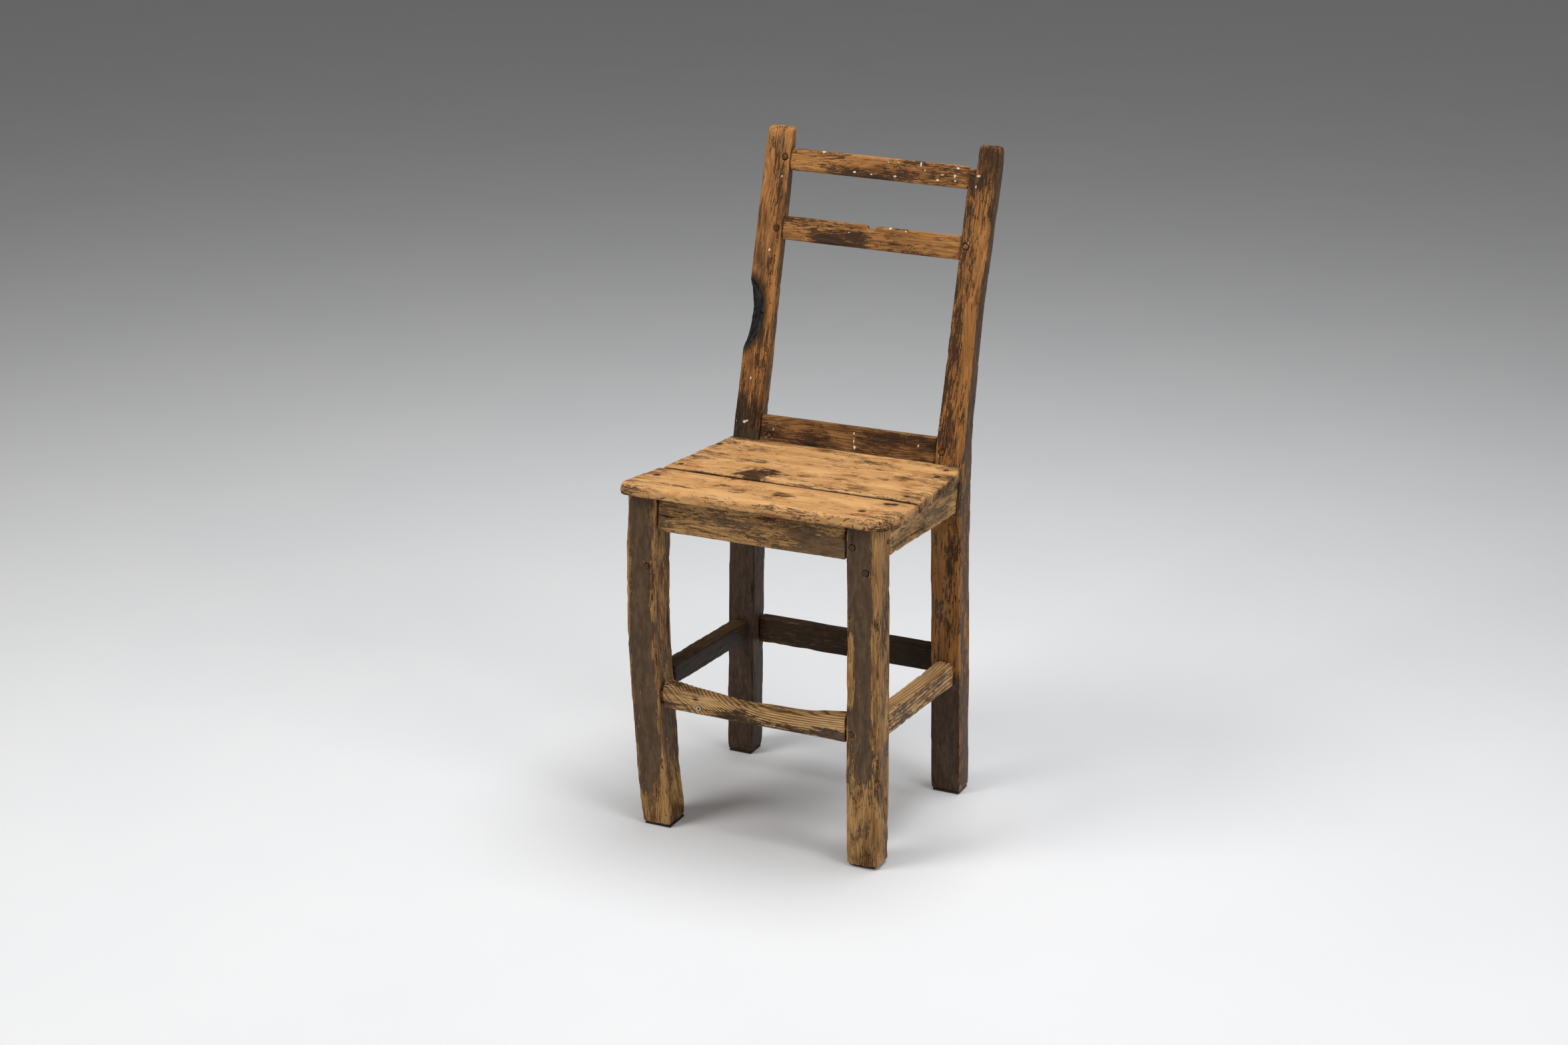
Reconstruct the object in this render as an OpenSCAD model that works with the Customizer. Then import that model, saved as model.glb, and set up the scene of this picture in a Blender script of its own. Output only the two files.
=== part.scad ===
// Peeling paint chair: a hand-made pine chair with raked back posts, worn and damaged by use.
// Left and right are as seen from the front. The front faces -Y and the floor is z = 0.

/* [Overall] */
// Height of the top of the seat at its front
seat_height = 467; // [380:1:560]
// Outside width across the front legs
leg_span = 341; // [280:1:410]
// Front faces of the front legs to front faces of the back legs
frame_depth = 252; // [205:1:310]
// Length of a back post above the bend at the seat
post_rise = 412; // [330:1:490]
// Length missing from the top of the right post
right_post_drop = 5; // [0:0.5:12]
// Backward lean of the back posts in degrees
rake = 15.8; // [8:0.1:20]
// Downward slope of the seat and side rails towards the back in degrees
seat_fall = 3; // [0:0.1:5]

/* [Front legs] */
// Width of a front leg across the chair
leg_width = 43; // [34:0.5:52]
// Width of the bowed left leg across the chair
bowed_width = 41; // [34:0.5:50]
// Front to back size of the left front leg
left_leg_depth = 44; // [36:0.5:52]
// Front to back size of the right front leg
right_leg_depth = 38; // [34:0.5:48]
// Outward bulge of the bowed left leg
bow_out = 6.5; // [0:0.5:12]
// Inward lean of the bowed leg's foot
foot_in = 11; // [0:0.5:18]
// Outward lean of the right front leg's foot
foot_out = 2; // [0:0.5:6]
// Worn corner along the right front leg
worn_corner = 4; // [1:0.5:6]
// Share of the seat height where the bow of the left leg begins
bow_start = 0.3; // [0.2:0.01:0.4]
// Share of the seat height that the bow spans
bow_reach = 0.66; // [0.5:0.01:0.68]
// Share of the seat height over which the bowed leg's foot turns in
foot_turn = 0.36; // [0.2:0.01:0.5]

/* [Back posts] */
// Width of the left back post
left_post_width = 38; // [32:0.5:46]
// Width of the right back post
right_post_width = 41.5; // [34:0.5:50]
// Front to back size of a back leg below the seat
back_leg_depth = 36.5; // [32:0.5:46]
// Thickness of a back post just above the seat
post_seat_depth = 24; // [20:0.5:30]
// Thickness of a back post at its top
post_top_depth = 16; // [14:0.5:22]
// Outside edge of the left back post inward of the left front leg
left_post_inset = 15; // [0:0.5:22]
// Outside edge of the right back post outward of the right front leg
right_post_outset = 3.5; // [0:0.5:10]
// Outward lean of the left back foot
left_splay = 8.5; // [0:0.5:14]
// Outward lean of the right back foot
right_splay = 7; // [0:0.5:14]
// Worn waist in the outer edge of the right post
waist = 4; // [0:0.5:6]
// Share of the right post's length that the waist spans
waist_reach = 0.85; // [0.5:0.01:0.9]
// Upper corner of the bend below the top of the seat
bend_drop = 13; // [8:0.5:20]
// Length of the bend in the faces of the back posts
bend_length = 50; // [30:1:70]
// Distance that the bend carries the faces of the posts back
bend_back = 10; // [4:0.5:16]
// Worn slope at the top of a post
top_wear = 7; // [2:0.5:10]
// Worn rear edge at the top of a post
top_back_wear = 3; // [1:0.5:6]
// Height above the bend where the back of a post starts to taper
taper_rise = 30; // [15:1:60]
// Thickening of the back legs behind the bend
bend_swell = 3; // [0:0.5:6]
// Length of that thickening below the bend
swell_length = 60; // [30:1:90]

/* [Damage] */
// Radius of the charred hollow in the left post
char_radius = 75; // [50:1:100]
// Depth of the charred hollow at the corner
char_depth = 15.5; // [8:0.5:20]
// Distance of the hollow above the bend of the post
char_rise = 161; // [120:1:200]
// Width of the chunk missing from the top of the right post
chip_width = 9; // [4:0.5:12]
// Length of the chunk missing from the top of the right post
chip_length = 40; // [30:1:50]
// Depth of the nick in the middle slat
nick_depth = 2.5; // [1:0.5:5]
// Width of the nick in the middle slat
nick_width = 10; // [4:0.5:16]
// Depth of the gap in the right edge of the seat at the joint
gap_depth = 9; // [4:0.5:12]
// Width of the gap in the right edge of the seat at the joint
gap_width = 4; // [2:0.5:6]
// Wood left above the gap in the right edge of the seat
gap_cover = 4; // [2:0.5:6]
// Hollow worn in the top of the front stretcher by feet
foot_wear = 13; // [0:0.5:16]
// Hollow worn in the top of the right stretcher
side_wear = 3; // [0:0.5:8]
// Hollow worn in the top of the left stretcher
left_wear = 1; // [0:0.5:8]
// Flatness of the hollow worn in the front stretcher
wear_power = 2.2; // [1.5:0.1:4]
// Waves left in the top of the front stretcher
wear_wave = 0.8; // [0:0.1:2]

/* [Rails] */
// Height of the front apron and the lower back rail
rail_height = 47.5; // [38:0.5:58]
// Height of the side aprons
side_rail_height = 44.5; // [36:0.5:54]
// Thickness of the aprons
apron_thickness = 22; // [18:0.5:28]
// Setback of a rail from the face of its leg
setback = 1; // [0.5:0.5:4]
// Open seam at the shoulders of the rails
shoulder_gap = 1.2; // [0.3:0.1:2]
// Thickness of the tenons
tenon_thickness = 10; // [8:0.5:12]
// Length of the tenons that run across the chair
cross_tenon = 26; // [18:0.5:32]
// Length of the tenons that run front to back
side_tenon = 14; // [10:0.5:16]
// Shoulder above and below a tenon
tenon_shoulder = 6; // [4:0.5:10]
// Front apron's tenons behind the faces of the legs
apron_tenon_inset = 8; // [6:0.5:10]
// Extra shoulder above the front apron's tenons
front_haunch = 3; // [0:0.5:6]
// Extra shoulder above the side aprons' tenons
side_haunch = 6; // [0:0.5:8]
// Side aprons running past the faces of the back posts, beside the posts
apron_lap = 12; // [4:0.5:20]
// Left side apron inward of the outside of the left front leg
left_apron_inset = 6; // [2:0.5:10]
// Right side apron inward of the outside of the right front leg
right_apron_inset = 0.5; // [0:0.5:6]
// Slack on each side of a tenon or peg in its hole
slack = 0.05; // [0:0.01:0.2]

/* [Stretchers] */
// Height of the underside of the front stretcher
front_stretcher_z = 166; // [120:1:220]
// Height of the front stretcher at its ends
front_stretcher_height = 36.5; // [30:0.5:48]
// Thickness of the front and side stretchers
stretcher_thickness = 23; // [18:0.5:28]
// Front stretcher's tenons behind the faces of the legs
stretcher_tenon_inset = 7; // [5:0.5:9]
// Extra shoulder above the front stretcher's tenons
stretcher_haunch = 2; // [0:0.5:6]
// Worn front slope of the front stretcher's top, front to back
step_slope = 8; // [3:0.5:10]
// Worn front slope of the front stretcher's top, downwards
step_drop = 9; // [3:0.5:12]
// Worn rear edge of the front stretcher's top
step_back = 6; // [2:0.5:8]
// Softened lower front edge of the front stretcher
under_front = 2; // [0.5:0.5:5]
// Softened lower rear edge of the front stretcher
under_back = 3; // [0.5:0.5:5]
// Open seam at the ends of the side and rear stretchers
stretcher_gap = 0.4; // [0.2:0.1:1]
// Downward slope of the side stretchers towards the back in degrees
side_stretcher_fall = 3.6; // [0:0.1:5]
// Height of the underside of the right stretcher at the front
right_stretcher_z = 168.7; // [130:1:220]
// Height of the underside of the left stretcher at the front
left_stretcher_z = 181.8; // [130:1:220]
// Height of the right stretcher
right_stretcher_height = 33.5; // [28:0.5:42]
// Height of the left stretcher
left_stretcher_height = 28.5; // [24:0.5:36]
// Left stretcher inward of the outside of the left back post
left_stretcher_inset = 2; // [0:0.5:8]
// Height of the underside of the rear stretcher
rear_stretcher_z = 163; // [120:1:220]
// Height of the rear stretcher
rear_stretcher_height = 36; // [30:0.5:46]
// Thickness of the rear stretcher
rear_stretcher_thickness = 18; // [14:0.5:22]

/* [Back slats] */
// Thickness of the slats
slat_thickness = 10; // [8:0.5:12]
// Thickness of the lower back rail
lower_rail_thickness = 14; // [12:0.5:18]
// Setback of the slats from the faces of the posts
slat_setback = 2.5; // [1:0.5:4]
// Height of the middle slat
middle_slat_height = 31.5; // [24:0.5:40]
// Height of the top slat
top_slat_height = 29.5; // [24:0.5:40]
// Top of the middle slat below the top of the posts
middle_slat_drop = 120; // [95:1:140]
// Top of the top slat below the top of the posts
top_slat_drop = 31.5; // [22:0.5:40]
// Tilt of the top slat in degrees, lower on the right
top_slat_tilt = 1; // [0:0.1:2]
// Tilt of the middle slat in degrees, lower on the right
middle_slat_tilt = 0.9; // [0:0.1:2]
// Top of the lower rail above the bend of the posts
lower_rail_rise = 32.5; // [20:0.5:45]
// Thickness of the slat tenons
slat_tenon = 6; // [5:0.5:8]
// Shoulder above and below a slat's tenon
slat_shoulder = 3; // [2:0.5:5]
// Open seam at the ends of the slats
slat_gap = 0.3; // [0.2:0.1:1]

/* [Seat] */
// Thickness of the seat boards
seat_thickness = 15.5; // [14:0.5:24]
// Front edge of the seat forward of the front legs
seat_overhang = 24; // [10:0.5:34]
// Joint between the two boards behind the front of the legs
joint_y = 80; // [60:1:110]
// Overhang of the seat beyond the right front leg
right_overhang = 23; // [8:0.5:30]
// Overhang of the seat beyond the left front leg
left_overhang = 2; // [0:0.5:10]
// Taper of each side of the seat towards the back
seat_taper = 16; // [4:0.5:24]
// Radius of the seat's left front corner
left_corner = 12; // [6:0.5:20]
// Radius of the seat's right front corner
right_corner = 30; // [10:0.5:36]
// Open joint between the two boards
board_gap = 0.6; // [0.3:0.1:1.5]
// Fall of the worn front edge towards the right
edge_fall = 6; // [0:0.5:10]
// Place across the chair where the front edge starts to fall back
edge_turn = -20; // [-60:1:20]
// Notch of the seat's rear corners round the posts
post_notch = 7; // [2:0.5:12]
// Bulge of the seat's right side between its corners
right_bulge = 6; // [0:0.5:10]

/* [Fasteners] */
// Diameter of the wooden pegs
peg_diameter = 7.5; // [6:0.1:9]
// Length of the wooden pegs
peg_length = 22; // [16:1:28]
// Length of the pegs through the slats
slat_peg_length = 12; // [10:0.5:13]
// Length of the peg through the lower back rail
rail_peg_length = 16; // [12:0.5:18]
// Diameter of the cut peg in the face of the lower back rail
cut_peg_diameter = 6.5; // [5:0.1:8]
// Diameter of a seat nail's head
nail_head = 5; // [4:0.1:6]
// Height of a seat nail's head
head_height = 1; // [0.8:0.1:2]
// Diameter of a seat nail's shank
nail_shank = 2.4; // [2:0.1:3]
// Length of a seat nail
nail_length = 38; // [30:1:45]
// Diameter of the cross-head screw's head
screw_head = 7.6; // [7:0.1:8.5]
// Diameter of the cross-head screw's shank
screw_shank = 4; // [3.5:0.1:4.5]
// Length of the cross-head screw
screw_length = 20; // [16:1:21]
// Place of the screw across the chair
screw_x = -75; // [-100:1:-40]
// Screw above the underside of the front stretcher
screw_rise = 9.5; // [6:0.5:14]
// Height of the cone under the screw's head
screw_cone = 2.4; // [1.8:0.1:3]
// Length of each slot of the screw's recess
recess_length = 4.4; // [3.5:0.1:5]
// Width of each slot of the screw's recess
recess_width = 1; // [0.8:0.1:1.3]
// Depth of the screw's recess
recess_depth = 1.6; // [1:0.1:2]
// Diameter of the bent nail
bent_nail_diameter = 2; // [1.6:0.1:3]
// Length of the bent nail in the wood
bent_nail_length = 12; // [8:0.5:16]
// Distance that the bent nail stands out of the leg
bent_nail_out = 1.6; // [1.2:0.1:3]
// Length of the bent nail's turned-down end
bent_nail_drop = 8; // [4:0.5:12]
// Diameter of the cut nail end near the right front foot
foot_nail_diameter = 3; // [2:0.1:4]
// Depth of the cut nail end near the right front foot
foot_nail_length = 8; // [5:0.5:12]

/* [Foot pads] */
// Thickness of the pads under the feet
pad_thickness = 3; // [2:0.5:5]
// Margin of a pad inside the edges of the foot
pad_margin = 2; // [1:0.5:4]

/* [Hidden] */
$fn = 48;
// Size of the blocks that cut pieces off, and how far a cut passes a surface
big = 1000;
cut = 1;
// How far an uncut rail reaches into its legs before it is cut back to its shoulders
reach = 10;
// The seat's own frame starts this far in front of the legs
seat_start = 10;
half_span = leg_span / 2;
seat_right = half_span + right_overhang;
seat_left = -half_span - left_overhang;
bend_y = frame_depth + bend_back;
bend_z = seat_height - bend_drop;
leg_bend_z = bend_z - bend_length;
swell_z = leg_bend_z + 0.2 * bend_length;
back_y = bend_y + (post_rise - top_back_wear) * sin(rake) + post_top_depth * cos(rake);
nose = seat_thickness / 2;
front_y = -seat_start + (seat_start - seat_overhang + nose) * cos(seat_fall)
    - nose * sin(seat_fall) - nose;
y_mid = (back_y + front_y) / 2;
left_out = -half_span + left_post_inset;
left_in = left_out + left_post_width;
right_out = half_span + right_post_outset;
right_in = right_out - right_post_width;
steps = 16;
seat_clear = 0.02;
leg_top = seat_height + 5;
bowed_mid = -half_span + leg_width / 2 + 0.5;
left_apron_x = -half_span + left_apron_inset;
right_apron_x = half_span - apron_thickness - right_apron_inset;
apron_bottom = seat_height - seat_thickness - rail_height;
front_inner = half_span - leg_width;
left_stretcher_x = left_out + left_stretcher_inset;
right_stretcher_x = half_span - stretcher_thickness - setback;
rear_stretcher_y = frame_depth + side_tenon + 2;
char_out_x = 0.6;
char_out_y = 0.8;
x_least = bowed_mid - bow_out - bowed_width / 2;
x_mid = (min(x_least, seat_left) + seat_right) / 2;
slat_length = right_in - left_in;
slat_mid = (left_in + right_in) / 2;
lower_rail_bottom = lower_rail_rise - rail_height;
middle_slat_bottom = post_rise - middle_slat_drop - middle_slat_height;
top_slat_bottom = post_rise - top_slat_drop - top_slat_height;

// Pegs in the faces of the posts: place across, height up the back and length
post_pegs = [[left_in - 8, top_slat_bottom + 0.62 * top_slat_height, slat_peg_length],
    [left_in - 9, middle_slat_bottom + 0.5 * middle_slat_height, slat_peg_length],
    [right_in + 8, middle_slat_bottom + 0.5 * middle_slat_height, slat_peg_length],
    [right_in + 9, lower_rail_bottom + 0.6 * rail_height, rail_peg_length]];
// Pegs in the faces of the front legs: place across and height
leg_pegs = [[front_inner + 8, apron_bottom + 18], [front_inner + 26, apron_bottom - 12],
    [front_inner + 8, front_stretcher_z + 13], [-half_span + 25, apron_bottom - 48]];
// Pegs in the right side: outer face, place front to back and height
right_side_pegs = [[half_span, right_leg_depth - 7, seat_height - seat_thickness - 26],
    [right_out, frame_depth + 8, seat_height - seat_thickness - 38]];
// Nails in the seat, in the seat's own frame: place across and front to back
nail_places = [[half_span - 10, frame_depth - 4], [half_span - 8, frame_depth - 39],
    [half_span - 6, joint_y + 29], [half_span - 13, joint_y - 13], [half_span - 5, joint_y - 11],
    [half_span - 27, 23], [-half_span + 23, joint_y + 32], [-half_span + 22, 48],
    [-half_span + 19, frame_depth - 27]];
// Cut peg in the face of the lower back rail: place across and height above the bend
cut_peg = [left_in + 14, 5];
// Bent nail in the face of the right front leg: place across and height
bent_nail_place = [front_inner + 9, seat_height - seat_thickness - 16];
// Cut nail end in the side of the right front leg: place front to back and height
foot_nail_place = [10, 17];

// Middle of the bowed leg at a height
function bow_x(z) = bowed_mid
    - bow_out * sin(180 * max(0, min(1, (z - bow_start * seat_height) / (bow_reach * seat_height))))
    + foot_in * pow(max(0, 1 - z / (foot_turn * seat_height)), 2);
// Outer edge of the right post at a height
function waist_x(z) = right_out
    - waist * sin(180 * max(0, min(1, (z - bend_z) / (waist_reach * post_rise))));
// Worn top of the front stretcher along its length, -1 to 1
function worn_top(u) = front_stretcher_z + front_stretcher_height
    - foot_wear * (1 - pow(abs(u), wear_power)) + wear_wave * sin(540 * u);

// The chair stands in the middle of its own outline
module placed() {
    translate([-x_mid, -y_mid, 0]) children();
}

// Frame of the seat: its top face is z = 0 and it falls towards the back
module on_seat() {
    translate([0, -seat_start, seat_height]) rotate([-seat_fall, 0, 0]) children();
}

// Frame of the back: the faces of the posts are y = 0 and z runs up along them
module on_back() {
    translate([0, bend_y, bend_z]) rotate([-rake, 0, 0]) children();
}

// Everything below the underside of the seat
module below_seat() {
    on_seat() translate([-big / 2, -big / 2, -seat_thickness - seat_clear - big]) cube([big, big, big]);
}

// A shape drawn as seen from the front, running front to back
module across_y(y0, y1) {
    translate([0, y1, 0]) rotate([90, 0, 0]) linear_extrude(y1 - y0) children();
}

// A shape drawn as seen from the side, running left to right
module across_x(x0, x1) {
    translate([x0, 0, 0]) rotate([90, 0, 90]) linear_extrude(x1 - x0) children();
}

// ---- Legs and posts without their holes ----

module front_left_body() {
    intersection() {
        across_y(0, left_leg_depth)
            polygon(concat(
                [for (i = [0:steps]) let (z = pad_thickness + i * (leg_top - pad_thickness) / steps)
                    [bow_x(z) - bowed_width / 2, z]],
                [for (i = [steps:-1:0]) let (z = pad_thickness + i * (leg_top - pad_thickness) / steps)
                    [bow_x(z) + bowed_width / 2, z]]));
        below_seat();
    }
}

module front_right_body() {
    intersection() {
        across_y(0, right_leg_depth)
            polygon([[front_inner, leg_top], [front_inner + foot_out, pad_thickness],
                [half_span + foot_out, pad_thickness], [half_span, leg_top]]);
        linear_extrude(leg_top)
            polygon([[front_inner - cut, -cut], [half_span - worn_corner - cut, -cut],
                [half_span + foot_out + cut, worn_corner + foot_out],
                [half_span + foot_out + cut, right_leg_depth + cut],
                [front_inner - cut, right_leg_depth + cut]]);
        below_seat();
    }
}

// Side view shared by the two back posts
module post_side() {
    polygon([[frame_depth, pad_thickness], [frame_depth, leg_bend_z], [bend_y, bend_z],
        [bend_y + (post_rise - top_wear) * sin(rake), bend_z + (post_rise - top_wear) * cos(rake)],
        [bend_y + post_rise * sin(rake) + top_wear * cos(rake),
            bend_z + post_rise * cos(rake) - top_wear * sin(rake)],
        [bend_y + post_rise * sin(rake) + (post_top_depth - top_back_wear) * cos(rake),
            bend_z + post_rise * cos(rake) - (post_top_depth - top_back_wear) * sin(rake)],
        [back_y, bend_z + (post_rise - top_back_wear) * cos(rake) - post_top_depth * sin(rake)],
        [bend_y + taper_rise * sin(rake) + post_seat_depth * cos(rake),
            bend_z + taper_rise * cos(rake) - post_seat_depth * sin(rake)],
        [frame_depth + back_leg_depth + bend_swell, swell_z],
        [frame_depth + back_leg_depth, swell_z - swell_length],
        [frame_depth + back_leg_depth, pad_thickness]]);
}

module back_left_body() {
    intersection() {
        across_y(0, big)
            polygon([[left_out - left_splay, 0], [left_in - left_splay, 0], [left_in, leg_bend_z],
                [left_in, big], [left_out, big], [left_out, leg_bend_z]]);
        across_x(-big, big) post_side();
    }
}

module back_right_body() {
    intersection() {
        across_y(0, big)
            polygon(concat(
                [[right_in, big], [right_in, leg_bend_z], [right_in + right_splay, 0],
                    [right_out + right_splay, 0], [right_out, leg_bend_z]],
                [for (i = [0:steps]) let (z = bend_z + i * waist_reach * post_rise / steps)
                    [waist_x(z), z]],
                [[right_out, big]]));
        across_x(-big, big) post_side();
        on_back() translate([-big / 2, -big / 2, -big]) cube([big, big, big + post_rise - right_post_drop]);
    }
}

// ---- Tenons: grown by the slack they are the mortises ----

module front_apron_tenons(g) {
    translate([-front_inner - cross_tenon - g, apron_tenon_inset - g, apron_bottom + tenon_shoulder - g])
        cube([2 * (front_inner + cross_tenon + g), tenon_thickness + 2 * g,
            rail_height - 2 * tenon_shoulder - front_haunch + 2 * g]);
}

module front_stretcher_tenons(g) {
    translate([-front_inner - cross_tenon - g, stretcher_tenon_inset - g,
        front_stretcher_z + tenon_shoulder - g])
        cube([2 * (front_inner + cross_tenon + g), tenon_thickness + 2 * g,
            front_stretcher_height - foot_wear - tenon_shoulder - stretcher_haunch + 2 * g]);
}

module side_apron_tenon(x, leg_depth, g) {
    on_seat() translate([x + (apron_thickness - tenon_thickness) / 2 - g,
        leg_depth + seat_start - side_tenon - g, -seat_thickness - side_rail_height + tenon_shoulder - g])
        cube([tenon_thickness + 2 * g, frame_depth - leg_depth + 2 * side_tenon + 2 * g,
            side_rail_height - 2 * tenon_shoulder - side_haunch + 2 * g]);
}

module side_stretcher_tenon(x, leg_depth, bottom, height, g) {
    translate([0, leg_depth, bottom]) rotate([-side_stretcher_fall, 0, 0])
        translate([x + (stretcher_thickness - tenon_thickness) / 2 - g, -side_tenon - g, tenon_shoulder - g])
        cube([tenon_thickness + 2 * g, frame_depth - leg_depth + 2 * side_tenon + 2 * g,
            height - 2 * tenon_shoulder - side_wear + 2 * g]);
}

module left_stretcher_tenon(g) {
    side_stretcher_tenon(left_stretcher_x, left_leg_depth, left_stretcher_z, left_stretcher_height, g);
}

module right_stretcher_tenon(g) {
    side_stretcher_tenon(right_stretcher_x, right_leg_depth, right_stretcher_z, right_stretcher_height, g);
}

module rear_stretcher_tenons(g) {
    translate([left_in - cross_tenon - g, rear_stretcher_y + (rear_stretcher_thickness - slat_tenon) / 2 - g,
        rear_stretcher_z + tenon_shoulder - g])
        cube([slat_length + 2 * cross_tenon + 2 * g, slat_tenon + 2 * g,
            rear_stretcher_height - 2 * tenon_shoulder + 2 * g]);
}

// A slat's tenons: both ends of one tongue through its full length
module slat_tenons(bottom, height, thickness, tilt, g) {
    on_back() translate([slat_mid, 0, bottom]) rotate([0, tilt, 0])
        translate([-slat_length / 2 - cross_tenon - g,
            slat_setback + (thickness - slat_tenon) / 2 - g, slat_shoulder - g])
        cube([slat_length + 2 * cross_tenon + 2 * g, slat_tenon + 2 * g, height - 2 * slat_shoulder + 2 * g]);
}

module lower_rail_tenons(g) {
    slat_tenons(lower_rail_bottom, rail_height, lower_rail_thickness, 0, g);
}

module middle_slat_tenons(g) {
    slat_tenons(middle_slat_bottom, middle_slat_height, slat_thickness, middle_slat_tilt, g);
}

module top_slat_tenons(g) {
    slat_tenons(top_slat_bottom, top_slat_height, slat_thickness, top_slat_tilt, g);
}

// ---- Pegs, nails and screw: grown by the slack they are their holes ----

module back_peg(x, z, length, g) {
    on_back() translate([x, 0, z]) rotate([-90, 0, 0]) cylinder(d = peg_diameter + 2 * g, h = length + g);
}

module all_back_pegs(g) {
    for (p = post_pegs) back_peg(p[0], p[1], p[2], g);
    on_back() translate([cut_peg[0], slat_setback, cut_peg[1]]) rotate([-90, 0, 0])
        cylinder(d = cut_peg_diameter + 2 * g, h = lower_rail_thickness - 4 + g);
}

module leg_peg(x, z, g) {
    translate([x, 0, z]) rotate([-90, 0, 0]) cylinder(d = peg_diameter + 2 * g, h = peg_length + g);
}

module all_front_leg_pegs(g) {
    for (p = leg_pegs) leg_peg(p[0], p[1], g);
}

module all_side_pegs(g) {
    for (p = right_side_pegs) translate([p[0] - peg_length - g, p[1], p[2]])
        rotate([0, 90, 0]) cylinder(d = peg_diameter + 2 * g, h = peg_length + g);
}

// A nail driven flush into the seat
module seat_nail(x, y, g) {
    on_seat() translate([x, y, 0]) {
        translate([0, 0, -head_height - g]) cylinder(d = nail_head + 2 * g, h = head_height + g);
        translate([0, 0, -nail_length - g]) cylinder(d = nail_shank + 2 * g, h = nail_length + g);
    }
}

module all_seat_nails(g) {
    for (p = nail_places) seat_nail(p[0], p[1], g);
}

// A rusty nail standing out of the right front leg and bent down over it
module bent_nail_shape(g) {
    translate([bent_nail_place[0], -bent_nail_out, bent_nail_place[1]]) {
        rotate([-90, 0, 0])
            cylinder(d = bent_nail_diameter + 2 * g, h = bent_nail_out + bent_nail_length + g);
        translate([0, 0, -bent_nail_drop])
            cylinder(d = bent_nail_diameter + 2 * g, h = bent_nail_drop + bent_nail_diameter / 2);
    }
}

// A cut nail end near the foot of the right front leg
module foot_nail_shape(g) {
    translate([half_span + foot_out - foot_nail_length, foot_nail_place[0], foot_nail_place[1]])
        rotate([0, 90, 0]) cylinder(d = foot_nail_diameter + 2 * g, h = foot_nail_length - 0.4);
}

module screw_solid(g) {
    translate([screw_x, setback, front_stretcher_z + screw_rise]) rotate([-90, 0, 0]) {
        cylinder(d1 = screw_head + 2 * g, d2 = screw_shank + 2 * g, h = screw_cone);
        cylinder(d = screw_shank + 2 * g, h = screw_length + g);
    }
}

// ---- Sub-parts ----

module front_left_leg() {
    color("SaddleBrown") placed() difference() {
        front_left_body();
        front_apron_tenons(slack);
        front_stretcher_tenons(slack);
        side_apron_tenon(left_apron_x, left_leg_depth, slack);
        left_stretcher_tenon(slack);
        all_front_leg_pegs(slack);
        all_seat_nails(slack);
    }
}

module front_right_leg() {
    color("SaddleBrown") placed() difference() {
        front_right_body();
        front_apron_tenons(slack);
        front_stretcher_tenons(slack);
        side_apron_tenon(right_apron_x, right_leg_depth, slack);
        right_stretcher_tenon(slack);
        all_front_leg_pegs(slack);
        all_side_pegs(slack);
        all_seat_nails(slack);
        bent_nail_shape(slack);
        foot_nail_shape(slack);
    }
}

module back_left_post() {
    color("SaddleBrown") placed() difference() {
        back_left_body();
        side_apron_tenon(left_apron_x, left_leg_depth, slack);
        left_stretcher_tenon(slack);
        rear_stretcher_tenons(slack);
        lower_rail_tenons(slack);
        middle_slat_tenons(slack);
        top_slat_tenons(slack);
        all_back_pegs(slack);
        on_back() translate([left_out - char_out_x * (char_radius - char_depth),
            -char_out_y * (char_radius - char_depth), char_rise]) sphere(r = char_radius);
    }
}

module back_right_post() {
    color("SaddleBrown") placed() difference() {
        back_right_body();
        side_apron_tenon(right_apron_x, right_leg_depth, slack);
        right_stretcher_tenon(slack);
        rear_stretcher_tenons(slack);
        lower_rail_tenons(slack);
        middle_slat_tenons(slack);
        top_slat_tenons(slack);
        all_back_pegs(slack);
        all_side_pegs(slack);
        on_back() translate([right_in - 1, -1, post_rise - right_post_drop - chip_length])
            cube([chip_width + 1, post_seat_depth + 2, chip_length + 1]);
    }
}

module front_apron() {
    color("Peru") placed() {
        difference() {
            union() {
                difference() {
                    intersection() {
                        translate([-half_span + reach, setback, apron_bottom])
                            cube([leg_span - 2 * reach, apron_thickness, rail_height + cut]);
                        below_seat();
                    }
                    translate([shoulder_gap, 0, 0]) front_left_body();
                    translate([-shoulder_gap, 0, 0]) front_right_body();
                    translate([-big - front_inner - bow_out - cut, -cut, 0]) cube([big, big, big]);
                    translate([front_inner - shoulder_gap, -cut, 0]) cube([big, big, big]);
                }
                front_apron_tenons(0);
            }
            all_front_leg_pegs(slack);
            all_seat_nails(slack);
            bent_nail_shape(slack);
        }
    }
}

module side_apron_body(x, leg_depth) {
    on_seat() translate([x, leg_depth - reach, -seat_thickness - side_rail_height])
        cube([apron_thickness, frame_depth - leg_depth + 5 * reach, side_rail_height]);
}

module left_apron() {
    color("Peru") placed() difference() {
        union() {
            difference() {
                side_apron_body(left_apron_x, left_leg_depth);
                translate([-big / 2, left_leg_depth + shoulder_gap - big, 0]) cube([big, big, big]);
                translate([0, -shoulder_gap, 0]) back_left_body();
                translate([-big / 2, frame_depth + apron_lap, 0]) cube([big, big, big]);
            }
            side_apron_tenon(left_apron_x, left_leg_depth, 0);
        }
        all_seat_nails(slack);
    }
}

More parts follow.
